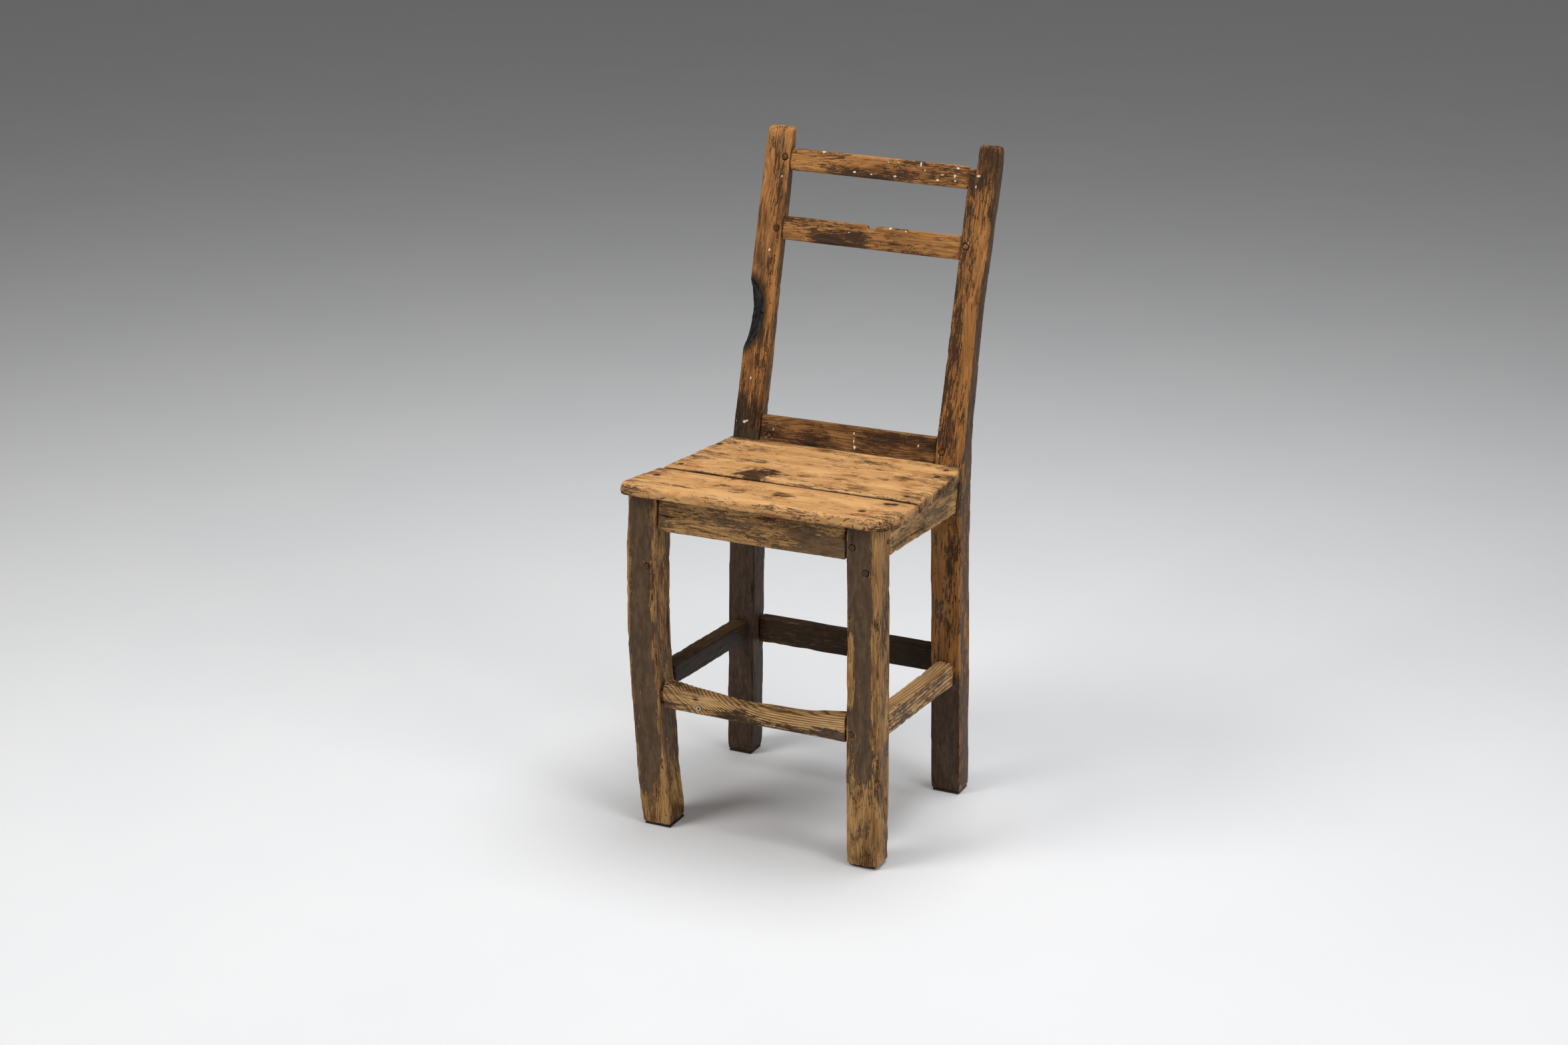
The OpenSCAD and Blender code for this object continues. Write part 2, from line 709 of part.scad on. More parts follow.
module right_apron() {
    color("Peru") placed() difference() {
        union() {
            difference() {
                side_apron_body(right_apron_x, right_leg_depth);
                translate([-big / 2, right_leg_depth + shoulder_gap - big, 0]) cube([big, big, big]);
                translate([0, -shoulder_gap, 0]) back_right_body();
                translate([-big / 2, frame_depth + apron_lap, 0]) cube([big, big, big]);
            }
            side_apron_tenon(right_apron_x, right_leg_depth, 0);
        }
        all_seat_nails(slack);
        all_side_pegs(slack);
    }
}

// A slat between the posts, without its tenons
module slat_body(bottom, height, thickness, tilt) {
    on_back() intersection() {
        translate([slat_mid, 0, bottom]) rotate([0, tilt, 0])
            translate([-slat_length / 2 - reach, slat_setback, 0])
            cube([slat_length + 2 * reach, thickness, height]);
        translate([left_in + slat_gap, -cut, -big / 2]) cube([slat_length - 2 * slat_gap, big, big]);
    }
}

module lower_back_rail() {
    color("Sienna") placed() difference() {
        union() {
            slat_body(lower_rail_bottom, rail_height, lower_rail_thickness, 0);
            lower_rail_tenons(0);
        }
        all_back_pegs(slack);
    }
}

module middle_back_slat() {
    color("Sienna") placed() difference() {
        union() {
            slat_body(middle_slat_bottom, middle_slat_height, slat_thickness, middle_slat_tilt);
            middle_slat_tenons(0);
        }
        all_back_pegs(slack);
        on_back() translate([slat_mid - nick_width / 2, 0,
            middle_slat_bottom + middle_slat_height - nick_depth])
            cube([nick_width, 3 * slat_thickness, nick_depth + 3 * cut]);
    }
}

module top_back_slat() {
    color("Sienna") placed() difference() {
        union() {
            slat_body(top_slat_bottom, top_slat_height, slat_thickness, top_slat_tilt);
            top_slat_tenons(0);
        }
        all_back_pegs(slack);
    }
}

module front_stretcher() {
    top = front_stretcher_z + front_stretcher_height;
    back = setback + stretcher_thickness;
    color("Peru") placed() difference() {
        union() {
            intersection() {
                across_y(setback, back)
                    polygon(concat([[front_inner, front_stretcher_z],
                        [-front_inner + foot_out, front_stretcher_z]],
                        [for (i = [0:2 * steps]) let (u = -1 + i / steps)
                            [u * (front_inner - shoulder_gap), worn_top(u)]]));
                across_x(-big / 2, big / 2)
                    polygon([[setback, front_stretcher_z + under_front],
                        [setback + under_front, front_stretcher_z],
                        [back - under_back, front_stretcher_z], [back, front_stretcher_z + under_back],
                        [back, top - step_back], [back - step_back, top + cut],
                        [setback + step_slope, top + cut], [setback, top - step_drop]]);
            }
            front_stretcher_tenons(0);
        }
        all_front_leg_pegs(slack);
        screw_solid(slack);
    }
}

module side_stretcher(x, leg_depth, bottom, height, wear) {
    run = frame_depth - leg_depth;
    union() {
        difference() {
            translate([0, leg_depth, bottom]) rotate([-side_stretcher_fall, 0, 0])
                across_x(x, x + stretcher_thickness)
                polygon(concat([[run + reach, 0], [-reach, 0]],
                    [for (i = [0:steps]) let (u = i / steps)
                        [-reach + u * (run + 2 * reach), height - wear * sin(180 * u)]]));
            translate([-big / 2, leg_depth + stretcher_gap - big, 0]) cube([big, big, big]);
            translate([-big / 2, frame_depth - stretcher_gap, 0]) cube([big, big, big]);
        }
        side_stretcher_tenon(x, leg_depth, bottom, height, 0);
    }
}

module left_stretcher() {
    color("Peru") placed()
        side_stretcher(left_stretcher_x, left_leg_depth, left_stretcher_z, left_stretcher_height,
            left_wear);
}

module right_stretcher() {
    color("Peru") placed()
        side_stretcher(right_stretcher_x, right_leg_depth, right_stretcher_z, right_stretcher_height,
            side_wear);
}

module rear_stretcher() {
    color("Peru") placed() {
        difference() {
            translate([left_in - 2 * reach, rear_stretcher_y, rear_stretcher_z])
                cube([slat_length + 4 * reach, rear_stretcher_thickness, rear_stretcher_height]);
            translate([-stretcher_gap, 0, 0]) back_right_body();
            translate([stretcher_gap, 0, 0]) back_left_body();
            translate([-big + left_in - left_splay, 0, 0]) cube([big, big, big]);
            translate([right_in + right_splay, 0, 0]) cube([big, big, big]);
        }
        rear_stretcher_tenons(0);
    }
}

// Outline of the whole seat in its own frame
module seat_outline() {
    back = frame_depth + 3 * reach;
    front = seat_start - seat_overhang;
    right_end = seat_right - seat_taper;
    union() {
        polygon([[seat_left + seat_taper, back], [seat_left + seat_taper * 0.7, joint_y + 20],
            [seat_left, seat_start], [seat_left + 1, front + left_corner],
            [seat_left + left_corner, front + left_corner], [seat_left + left_corner, front + 2],
            [edge_turn, front], [seat_right - right_corner, front + edge_fall],
            [seat_right - right_corner, front + right_corner + edge_fall],
            [seat_right, front + right_corner + edge_fall],
            [seat_right - 2, joint_y - 20], [right_end + right_bulge, frame_depth - 50],
            [right_end, frame_depth - 4], [right_end - post_notch, back]]);
        translate([seat_left + left_corner + 1, front + left_corner + 2]) circle(r = left_corner);
        translate([seat_right - right_corner, front + right_corner + edge_fall]) circle(r = right_corner);
    }
}

// Side view of the seat: flat boards with a rounded front edge
module seat_side() {
    union() {
        translate([seat_start - seat_overhang + nose, -seat_thickness]) square([big, seat_thickness]);
        translate([seat_start - seat_overhang + nose, -nose]) circle(r = nose);
    }
}

module seat_shape() {
    on_seat() intersection() {
        translate([0, 0, -seat_thickness]) linear_extrude(seat_thickness) seat_outline();
        across_x(-big / 2, big / 2) seat_side();
    }
}

module seat_back_board() {
    color("BurlyWood") placed() difference() {
        seat_shape();
        on_seat() translate([-big / 2, joint_y + seat_start - big, -big / 2]) cube([big, big, big]);
        back_left_body();
        back_right_body();
        slat_body(lower_rail_bottom, rail_height, lower_rail_thickness, 0);
        on_back() translate([-big / 2, slat_setback, -big / 2]) cube([big, big, big]);
        all_seat_nails(slack);
        on_seat() translate([seat_right - gap_depth, joint_y + seat_start - cut, -seat_thickness - cut])
            cube([big, gap_width, seat_thickness + cut - gap_cover]);
    }
}

module seat_front_board() {
    color("BurlyWood") placed() difference() {
        seat_shape();
        on_seat() translate([-big / 2, joint_y + seat_start - board_gap, -big / 2]) cube([big, big, big]);
        all_seat_nails(slack);
    }
}

module back_pegs() {
    color("Tan") placed() all_back_pegs(0);
}

module front_leg_pegs() {
    color("Tan") placed() all_front_leg_pegs(0);
}

module side_pegs() {
    color("Tan") placed() all_side_pegs(0);
}

module seat_nails() {
    color("DimGray") placed() all_seat_nails(0);
}

module bent_nail() {
    color("DimGray") placed() bent_nail_shape(0);
}

module foot_nail() {
    color("DimGray") placed() foot_nail_shape(0);
}

module stretcher_screw() {
    color("Silver") placed() difference() {
        screw_solid(0);
        translate([screw_x, setback - cut, front_stretcher_z + screw_rise]) for (a = [45, 135])
            rotate([0, a, 0]) translate([-recess_length / 2, 0, -recess_width / 2])
            cube([recess_length, cut + recess_depth, recess_width]);
    }
}

module foot_pad(x, y, w, d) {
    translate([x + pad_margin, y + pad_margin, 0])
        cube([w - 2 * pad_margin, d - 2 * pad_margin, pad_thickness]);
}

module foot_pads() {
    color("Black") placed() {
        foot_pad(bow_x(pad_thickness) - bowed_width / 2, 0, bowed_width, left_leg_depth);
        foot_pad(front_inner + foot_out, worn_corner, leg_width - worn_corner, right_leg_depth - worn_corner);
        foot_pad(left_out - left_splay, frame_depth, left_post_width, back_leg_depth);
        foot_pad(right_in + right_splay, frame_depth, right_post_width, back_leg_depth);
    }
}

front_left_leg();
front_right_leg();
back_left_post();
back_right_post();
front_apron();
left_apron();
right_apron();
lower_back_rail();
middle_back_slat();
top_back_slat();
front_stretcher();
left_stretcher();
right_stretcher();
rear_stretcher();
seat_back_board();
seat_front_board();
back_pegs();
front_leg_pegs();
side_pegs();
seat_nails();
bent_nail();
foot_nail();
stretcher_screw();
foot_pads();
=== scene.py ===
"""Looks of the peeling paint chair: worn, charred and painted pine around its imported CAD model."""

import math

import bmesh
import bpy
import numpy as np
from mathutils import Matrix, Vector


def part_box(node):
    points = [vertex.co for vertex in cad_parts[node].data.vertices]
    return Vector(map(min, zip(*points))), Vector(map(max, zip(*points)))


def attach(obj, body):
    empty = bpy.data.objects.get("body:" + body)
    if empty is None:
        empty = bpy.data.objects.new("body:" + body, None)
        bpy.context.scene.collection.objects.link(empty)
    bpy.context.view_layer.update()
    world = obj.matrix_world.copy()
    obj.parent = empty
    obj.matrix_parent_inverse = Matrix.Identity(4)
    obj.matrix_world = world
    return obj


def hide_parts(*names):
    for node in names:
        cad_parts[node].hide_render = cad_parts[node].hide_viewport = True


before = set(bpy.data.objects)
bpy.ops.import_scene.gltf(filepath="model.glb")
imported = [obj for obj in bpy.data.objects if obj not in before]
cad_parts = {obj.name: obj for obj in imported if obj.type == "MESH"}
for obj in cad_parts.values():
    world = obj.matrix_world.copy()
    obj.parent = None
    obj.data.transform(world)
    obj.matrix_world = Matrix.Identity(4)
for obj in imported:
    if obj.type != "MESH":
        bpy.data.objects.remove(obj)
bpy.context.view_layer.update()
MM = 0.001

# Shapes are worked in millimetres from the middle of the front legs' front faces, at the floor,
# which lies OUTER_X inwards from the outer face of the right leg.
OUTER_X = 172.5
leg_low, leg_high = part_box("front_right_leg")
ORIGIN = np.array([leg_high.x - OUTER_X * MM, leg_low.y, 0.0])

# The face of the back posts leans back above the bend at the seat, and a little from the knee up to it
BEND_Y, BEND_Z, LEAN = 262.0, 454.0, math.radians(15.8)
KNEE_Z, KNEE_SLOPE = 404.0, 0.2
# Ball that the burnt hollow follows
BURN_CENTRE, BURN_RADIUS = np.array([-191.2, 260.0, 621.9]), 75.0
# Nick in the top of the middle slat: its middle, and how far up the back its bottom is
NICK_X, NICK_UP = 7.5, 284.0
# How far up the back the middle of each slat is
MIDDLE_SLAT_UP, TOP_SLAT_UP = 276.0, 366.0
# Middle of the screw in the front stretcher
SCREW_X, SCREW_Z = -75.0, 175.5

# The slope of the seat and the side rails, down to the back
SEAT_FALL = 0.056
# Middle of the seat across, the joint between its two boards, and its nails
SEAT_MIDDLE_X, JOINT_Y = 10.0, 79.6
SEAT_NAILS = ((-151, 215), (-147, 102), (-148, 38), (143, 13), (157, 57), (165, 59), (164, 99),
              (162, 203), (160, 238))
# Spills on the seat: middle, half width and half depth, and strength
SPILLS = (((-40, 102), (31, 35), 1.25), ((-52, 96), (14, 18), 0.5), ((18, 126), (17, 18), 0.5),
          ((31, 30), (17, 15), 0.6), ((96, 106), (26, 22), 0.4), ((-26, 15), (15, 13), 0.45),
          ((128, 178), (18, 22), 0.4))

# Cream flecks on the face of the back: x, the way up the back (from the slat's middle on a slat), and
# half width and half height
LEFT_POST_FLECKS = ((-126, 344, (1.2, 2.0)), (-132, 247, (1.7, 2.2)), (-138, 77, (1.4, 2.0)),
                    (-140, 19, (2.6, 2.0)), (-136, 21, (1.4, 1.4)), (-151, 18, (1.0, 1.6)))
RIGHT_POST_FLECKS = ((143.5, 280, (1.2, 3.0)), (145, 352, (1.2, 1.8)), (147, 366, (3.2, 1.4)))
RAIL_FLECKS = ((-98, 13, (1.3, 1.8)), (17, 22, (1.6, 1.8)), (18, 13, (0.9, 6.0)), (20, 4, (2.0, 2.6)),
               (108, 17, (1.2, 2.6)), (117, 18, (0.9, 1.2)))
MIDDLE_SLAT_FLECKS = ((-23, 3, (1.8, 0.9)), (34, 13, (2.4, 2.0)), (56, 11, (2.0, 1.0)))
TOP_SLAT_FLECKS = (
    (-71, 13, (3.0, 1.2)), (-25, -9, (2.6, 1.3)), (-1, -10, (2.0, 1.0)), (21, 7, (1.0, 1.2)),
    (35, 8, (1.2, 1.4)), (34, 1, (0.9, 0.9)), (32, -10, (2.6, 1.5)), (66, 8, (1.5, 3.2)),
    (72, 1, (1.2, 1.4)), (93, 14, (3.4, 1.2)), (91, -10, (2.4, 1.3)), (97, -3, (3.2, 0.9)),
    (114, -3, (1.6, 2.6)), (117, 7, (2.2, 1.6)), (115, -9, (1.8, 1.2)))

# What a point of a worn piece carries for its material, each from 0 to 1: brown paint, worn arrises with
# some painted highlight, char, stains with painted shade in places, dark specks, strewn and placed cream
# flecks, and the dirt in cracks
LOOKS = ("paint", "wear", "char", "stain_and_shade", "speck", "fleck", "cream", "crack")
# Millimetres of wood gone that leave a point quite bare
FULL_WEAR = 1.4


# ---- Noise and masks -------------------------------------------------------------------------


def hashed(cell, seed):
    """A value from -1 to 1 for each whole-number cell, its numbers mixed by large primes."""
    h = cell[:, 0] * 73856093 ^ cell[:, 1] * 19349663 ^ cell[:, 2] * 83492791 ^ (seed + 1) * 265443576
    h = (h ^ (h >> 13)) * 1274126177
    h = h & 0x7FFFFFFF
    h = (h ^ (h >> 15)) & 0xFFFF
    return h / 32767.5 - 1.0


def noise(points, seed):
    """Smooth noise from -1 to 1, with one cell per unit."""
    cell = np.floor(points).astype(np.int64)
    part = points - cell
    part = part * part * (3 - 2 * part)
    total = np.zeros(len(points))
    for dx in (0, 1):
        wx = part[:, 0] if dx else 1 - part[:, 0]
        for dy in (0, 1):
            wy = part[:, 1] if dy else 1 - part[:, 1]
            for dz in (0, 1):
                wz = part[:, 2] if dz else 1 - part[:, 2]
                total += wx * wy * wz * hashed(cell + np.array([dx, dy, dz]), seed)
    return total


def rough(points, octaves, seed):
    """Several layers of noise, each half as large and twice as fine."""
    total = np.zeros(len(points))
    for i in range(octaves):
        total += noise(points * 2.0**i + 7.3 * i, seed + i) / 2.0**i
    return total


def smooth(x, low, high):
    """0 below low, 1 above high and smooth between them."""
    t = np.clip((x - low) / (high - low), 0, 1)
    return t * t * (3 - 2 * t)


def hill(x, middle, half):
    """1 at the middle, falling smoothly to 0 at half on either side."""
    return 1 - smooth(np.abs(x - middle), 0, half)


def on_back(x, up):
    """A point on the face of the back, up along it from the bend."""
    return x, BEND_Y + up * math.sin(LEAN), BEND_Z + up * math.cos(LEAN)


def up_back(co):
    """How far points are up along the back from the bend."""
    return (co[:, 1] - BEND_Y) * math.sin(LEAN) + (co[:, 2] - BEND_Z) * math.cos(LEAN)


# ---- Worn pieces -----------------------------------------------------------------------------


class Piece:
    """A copy of a CAD node as a fine mesh that can be worn, dented and cracked.
    voxel is the mesh's fineness in millimetres, and co and normal hold its points and their normals."""

    def __init__(self, node, voxel):
        self.node = node
        bm = bmesh.new()
        bm.from_mesh(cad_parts[node].data)
        bmesh.ops.remove_doubles(bm, verts=bm.verts, dist=0.02 * MM)
        mesh = bpy.data.meshes.new(node + "_source")
        bm.to_mesh(mesh)
        bm.free()
        self.obj = bpy.data.objects.new(node + "_worn", mesh)
        bpy.context.scene.collection.objects.link(self.obj)
        remesh = self.obj.modifiers.new("Remesh", "REMESH")
        remesh.mode = "VOXEL"
        remesh.voxel_size = voxel * MM
        graph = bpy.context.evaluated_depsgraph_get()
        self.mesh = bpy.data.meshes.new_from_object(self.obj.evaluated_get(graph))
        self.obj.modifiers.clear()
        self.obj.data = self.mesh
        self.mesh.name = node + "_worn"
        self.read()
        self.looks = {}

    def read(self):
        """Takes the points and edges from the mesh."""
        n = len(self.mesh.vertices)
        flat = np.empty(n * 3)
        self.mesh.vertices.foreach_get("co", flat)
        self.co = (flat.reshape(-1, 3) - ORIGIN) / MM
        ends = np.empty(len(self.mesh.edges) * 2, np.int64)
        self.mesh.edges.foreach_get("vertices", ends)
        self.ends = ends.reshape(-1, 2)
        self.find_normals()

    def write(self):
        """Puts the points back into the mesh."""
        self.mesh.vertices.foreach_set("co", (self.co * MM + ORIGIN).ravel())
        self.mesh.update()

    def find_normals(self):
        self.write()
        flat = np.empty(len(self.mesh.vertices) * 3)
        self.mesh.vertex_normals.foreach_get("vector", flat)
        self.normal = flat.reshape(-1, 3)

    def blurred(self, values):
        """The mean of each point's neighbours."""
        a, b = self.ends[:, 0], self.ends[:, 1]
        n = len(self.co)
        count = np.bincount(a, minlength=n) + np.bincount(b, minlength=n)
        return (np.bincount(a, values[b], n) + np.bincount(b, values[a], n)) / count

    def wear(self, times, strength):
        """Rounds the arrises: strength is one number, or one per point."""
        start = self.co.copy()
        pull = (np.zeros(len(self.co)) + strength)[:, None]
        for _ in range(times):
            mean = np.stack([self.blurred(self.co[:, k]) for k in range(3)], 1)
            self.co += (mean - self.co) * 0.5 * pull
        gone = ((start - self.co) * self.normal).sum(1)
        self.looks["wear"] = self.look("wear") + np.clip(gone / FULL_WEAR, 0, 1)
        self.find_normals()

    def bare_edges(self, amount, times=8):
        """Widens the wear along the arrises, unevenly, where the paint has rubbed off."""
        band = self.look("wear")
        for _ in range(times):
            band = self.blurred(band)
        uneven = 0.75 + 0.5 * noise(self.co / 16.0, 77)
        self.at_least("wear", amount * uneven * smooth(band, 0.03, 0.16))

    def refine(self, near, times=1):
        """Splits the edges whose two ends are both near, where near(points) is true."""
        for _ in range(times):
            self.write()
            for name, value in self.looks.items():
                layer = self.mesh.attributes.new("kept_" + name, "FLOAT", "POINT")
                layer.data.foreach_set("value", value.astype(np.float32))
            bm = bmesh.new()
            bm.from_mesh(self.mesh)
            bm.verts.ensure_lookup_table()
            chosen = near(self.co)
            edges = [e for e in bm.edges if chosen[e.verts[0].index] and chosen[e.verts[1].index]]
            if edges:
                bmesh.ops.subdivide_edges(bm, edges=edges, cuts=1, use_grid_fill=True)
                bmesh.ops.triangulate(bm, faces=[f for f in bm.faces if len(f.verts) > 4])
            bm.to_mesh(self.mesh)
            bm.free()
            for name in self.looks:
                layer = self.mesh.attributes["kept_" + name]
                value = np.empty(len(self.mesh.vertices), np.float32)
                layer.data.foreach_get("value", value)
                self.looks[name] = value.astype(float)
                self.mesh.attributes.remove(layer)
            self.read()

    def push(self, depth):
        """Moves each point inwards by its own depth in millimetres."""
        self.co -= self.normal * np.asarray(depth)[:, None]

    def dent(self, centre, size, depth):
        """A smooth hollow: size is its reach along x, y and z."""
        d = np.sqrt((((self.co - np.array(centre)) / np.array(size)) ** 2).sum(1))
        self.push(depth * np.clip(1 - d * d, 0, 1) ** 1.5)

    def line(self, points):
        """Distance of each point of the mesh from a line through points, and its way along it, 0 to 1."""
        points = [np.array(p, float) for p in points]
        lengths = [np.linalg.norm(q - p) for p, q in zip(points, points[1:])]
        best = np.full(len(self.co), 1e9)
        way = np.zeros(len(self.co))
        passed = 0.0
        for p, q, length in zip(points, points[1:], lengths):
            t = np.clip(((self.co - p) @ (q - p)) / length**2, 0, 1)
            d = np.linalg.norm(self.co - (p + t[:, None] * (q - p)), axis=1)
            closer = d < best
            best = np.where(closer, d, best)
            way = np.where(closer, (passed + t * length) / sum(lengths), way)
            passed += length
        return best, way

    def crack(self, points, width, depth, fine=2, dark=1.0):
        """A split along a line through points, narrowing to its two ends."""
        reach = width + 2.5
        self.refine(lambda co: self.line(points)[0] < reach, fine)
        wobble = 0.35 * width * noise(self.co / 4.0, 5)
        d, way = self.line(points)
        half = width * (0.25 + 0.75 * np.clip(4 * way * (1 - way), 0, 1) ** 0.5)
        shape = np.clip(1 - (d + wobble) / half, 0, 1)
        self.push(depth * shape)
        self.at_least("crack", dark * smooth(shape, 0.05, 0.5))

    def gouges(self, count, seed, length, depth, where, turn):
        """Short slanted cuts with dirt in them, at points chosen where the weight is high."""
        rng = np.random.default_rng(seed)
        weight = np.clip(where, 0, None) + 1e-9
        picked = rng.choice(len(self.co), count, p=weight / weight.sum())
        for i in picked:
            angle = rng.uniform(*turn)
            way = np.array([math.cos(angle), -0.35 * math.sin(angle), math.sin(angle)])
            half = way * rng.uniform(*length) / 2
            width = rng.uniform(0.9, 1.7)
            d, along = self.line([self.co[i] - half, self.co[i] + half])
            shape = np.clip(1 - d / width, 0, 1) * (0.4 + 0.6 * np.sin(math.pi * along))
            self.push(rng.uniform(*depth) * shape)
            self.at_least("crack", rng.uniform(0.3, 0.9) * smooth(shape, 0.1, 0.6))

    def drip(self, centre, size, reach=8.0):
        """A fleck of cream paint, a little proud. Its size is its half width and half height.
        It reaches some way into the piece, to cover a sloping face."""
        away = (self.co - np.array(centre)) / np.array([size[0], reach, size[1]])
        d = np.sqrt((away**2).sum(1))
        self.at_least("cream", np.clip(1 - 0.5 * d, 0, 1))
        self.push(-0.35 * smooth(1 - d, 0, 0.6))

    def back_flecks(self, places, middle=0.0):
        """Flecks on the face of the back, each at x and its way up from the middle."""
        for x, up, size in places:
            self.drip(on_back(x, middle + up), size)

    def nicks(self, count, seed, size, depth, where, long_axis, stretch):
        """Small random dents, at points chosen where the weight is high, or anywhere for None.
        Size and depth are ranges. A dent is up to stretch times as long along its long axis."""
        rng = np.random.default_rng(seed)
        weight = np.ones(len(self.co)) if where is None else np.clip(where, 0, None) + 1e-9
        picked = rng.choice(len(self.co), count, p=weight / weight.sum())
        for i in picked:
            reach = np.full(3, rng.uniform(*size))
            reach[long_axis] *= rng.uniform(1, stretch)
            self.dent(self.co[i], reach, rng.uniform(*depth))

    def arrises(self):
        """Weight that is high along the worn arrises, where most dents are."""
        return self.look("wear") ** 2

    def look(self, name):
        """A look as one value per point, 0 where nothing is set."""
        return self.looks.get(name, 0.0) + np.zeros(len(self.co))

    def at_least(self, name, values):
        """Raises a look to the values where it is lower."""
        self.looks[name] = np.maximum(self.look(name), values)

    def finish(self, material, grain, ring=None):
        """Writes the shape and its looks, and puts the piece in the CAD node's place.
        ring is the distance of each point from the heart of the tree, if it isn't the grain's own."""
        self.write()
        self.looks["ring"] = np.hypot(grain[1], grain[2]) if ring is None else ring
        layer = self.mesh.attributes.new("ring", "FLOAT", "POINT")
        layer.data.foreach_set("value", self.looks["ring"].astype(np.float32))
        grain = np.stack(grain, 1).astype(np.float32)
        layer = self.mesh.attributes.new("grain", "FLOAT_VECTOR", "POINT")
        layer.data.foreach_set("vector", grain.ravel())
        for name in LOOKS:
            layer = self.mesh.attributes.new(name, "FLOAT", "POINT")
            layer.data.foreach_set("value", np.clip(self.look(name), 0, 1).astype(np.float32))
        self.mesh.materials.clear()
        self.mesh.materials.append(material)
        self.mesh.polygons.foreach_set("use_smooth", [True] * len(self.mesh.polygons))
        self.mesh.polygons.foreach_set("material_index", [0] * len(self.mesh.polygons))
        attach(self.obj, "root")
        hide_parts(self.node)


# ---- Materials -------------------------------------------------------------------------------


def colour(r, g, b):
    """A colour from its display values, 0 to 255."""
    def linear(v):
        v /= 255.0
        return v / 12.92 if v < 0.04045 else ((v + 0.055) / 1.055) ** 2.4
    return (linear(r), linear(g), linear(b), 1.0)


class Shader:
    """A small helper for node materials."""

    def __init__(self, name):
        self.material = bpy.data.materials.new(name)
        self.material.use_nodes = True
        self.tree = self.material.node_tree
        self.tree.nodes.clear()
        self.bsdf = self.add("ShaderNodeBsdfPrincipled")
        output = self.add("ShaderNodeOutputMaterial")
        self.tree.links.new(self.bsdf.outputs[0], output.inputs[0])

    def add(self, kind, **settings):
        node = self.tree.nodes.new(kind)
        for key, value in settings.items():
            setattr(node, key, value)
        return node

    def put(self, socket, value):
        if isinstance(value, bpy.types.NodeSocket):
            self.tree.links.new(value, socket)
        else:
            socket.default_value = value

    def attribute(self, name, output="Fac"):
        return self.add("ShaderNodeAttribute", attribute_name=name).outputs[output]

    def math(self, operation, a, b=0.0, c=0.0):
        node = self.add("ShaderNodeMath", operation=operation)
        for socket, value in zip(node.inputs, (a, b, c)):
            self.put(socket, value)
        return node.outputs[0]

    def times(self, a, b):
        return self.math("MULTIPLY", a, b)

    def weighed(self, x, amount, start):
        """The start, plus the amount times x."""
        return self.math("MULTIPLY_ADD", x, amount, start)

    def scaled(self, vector, factors):
        node = self.add("ShaderNodeVectorMath", operation="MULTIPLY")
        self.put(node.inputs[0], vector)
        node.inputs[1].default_value = factors
        return node.outputs[0]

    def noise(self, vector, factors, detail=3.0, roughness=0.55, distortion=0.0):
        node = self.add("ShaderNodeTexNoise")
        self.put(node.inputs["Vector"], self.scaled(vector, factors))
        node.inputs["Scale"].default_value = 1.0
        node.inputs["Detail"].default_value = detail
        node.inputs["Roughness"].default_value = roughness
        node.inputs["Distortion"].default_value = distortion
        return node.outputs["Fac"]

    def smooth(self, x, low, high):
        node = self.add("ShaderNodeMapRange", interpolation_type="SMOOTHSTEP")
        self.put(node.inputs["Value"], x)
        node.inputs["From Min"].default_value = low
        node.inputs["From Max"].default_value = high
        return node.outputs[0]

    def cells(self, vector, factors, feature="F1"):
        node = self.add("ShaderNodeTexVoronoi", feature=feature)
        self.put(node.inputs["Vector"], self.scaled(vector, factors))
        node.inputs["Scale"].default_value = 1.0
        return node

    def blend(self, factor, a, b):
        """Between two colours."""
        node = self.add("ShaderNodeMix", data_type="RGBA", clamp_factor=True)
        self.put(node.inputs[0], factor)
        self.put(node.inputs[6], a)
        self.put(node.inputs[7], b)
        return node.outputs[2]

    def over(self, base, factor, amount, top):
        """A top colour over the base, by the factor times the amount."""
        return self.blend(self.times(factor, amount), base, top)

    def swing(self, x, amount, start):
        """The start, plus the amount times how far x is above one half."""
        return self.weighed(self.math("SUBTRACT", x, 0.5), amount, start)

    def mix(self, factor, a, b):
        """Between two numbers."""
        node = self.add("ShaderNodeMix", data_type="FLOAT", clamp_factor=True)
        self.put(node.inputs[0], factor)
        self.put(node.inputs[2], a)
        self.put(node.inputs[3], b)
        return node.outputs[0]

    def bump(self, height, distance, strength):
        node = self.add("ShaderNodeBump")
        node.inputs["Strength"].default_value = strength
        node.inputs["Distance"].default_value = distance * MM
        self.put(node.inputs["Height"], height)
        return node.outputs[0]


def spills_over(s, g, base, ruddy):
    """Reddish brown spills and drops that have soaked in."""
    soaked = s.noise(g, (0.022, 0.028, 0.028), 5.0, 0.7, 0.6)
    base = s.over(base, s.smooth(soaked, 0.55, 0.68), ruddy, colour(150, 84, 42))
    drops = s.noise(g, (0.13, 0.16, 0.16), 2.0, 0.5)
    return s.over(base, s.smooth(drops, 0.68, 0.72), ruddy, colour(112, 62, 32))


def dirt_and_shade_over(s, look, base, grime, streak, dirt):
    """Broad dirt with streaks in it, following the stain look, so it also paints shade where that look
    holds painted shade, as on the back posts below the seat.
    """
    dirt_and_shade_level = s.swing(streak, 1.6, s.swing(grime, 2.6, look["stain_and_shade"]))
    some = s.smooth(look["stain_and_shade"], 0.0, 0.12)
    thin_dirt_and_shade = s.times(s.smooth(dirt_and_shade_level, 0.1, 0.75), some)
    base = s.over(base, thin_dirt_and_shade, 0.8, colour(*dirt))
    deep_dirt_and_shade = s.times(s.smooth(dirt_and_shade_level, 0.6, 1.05), some)
    return s.over(base, deep_dirt_and_shade, 0.85, colour(*[v * 0.5 for v in dirt]))


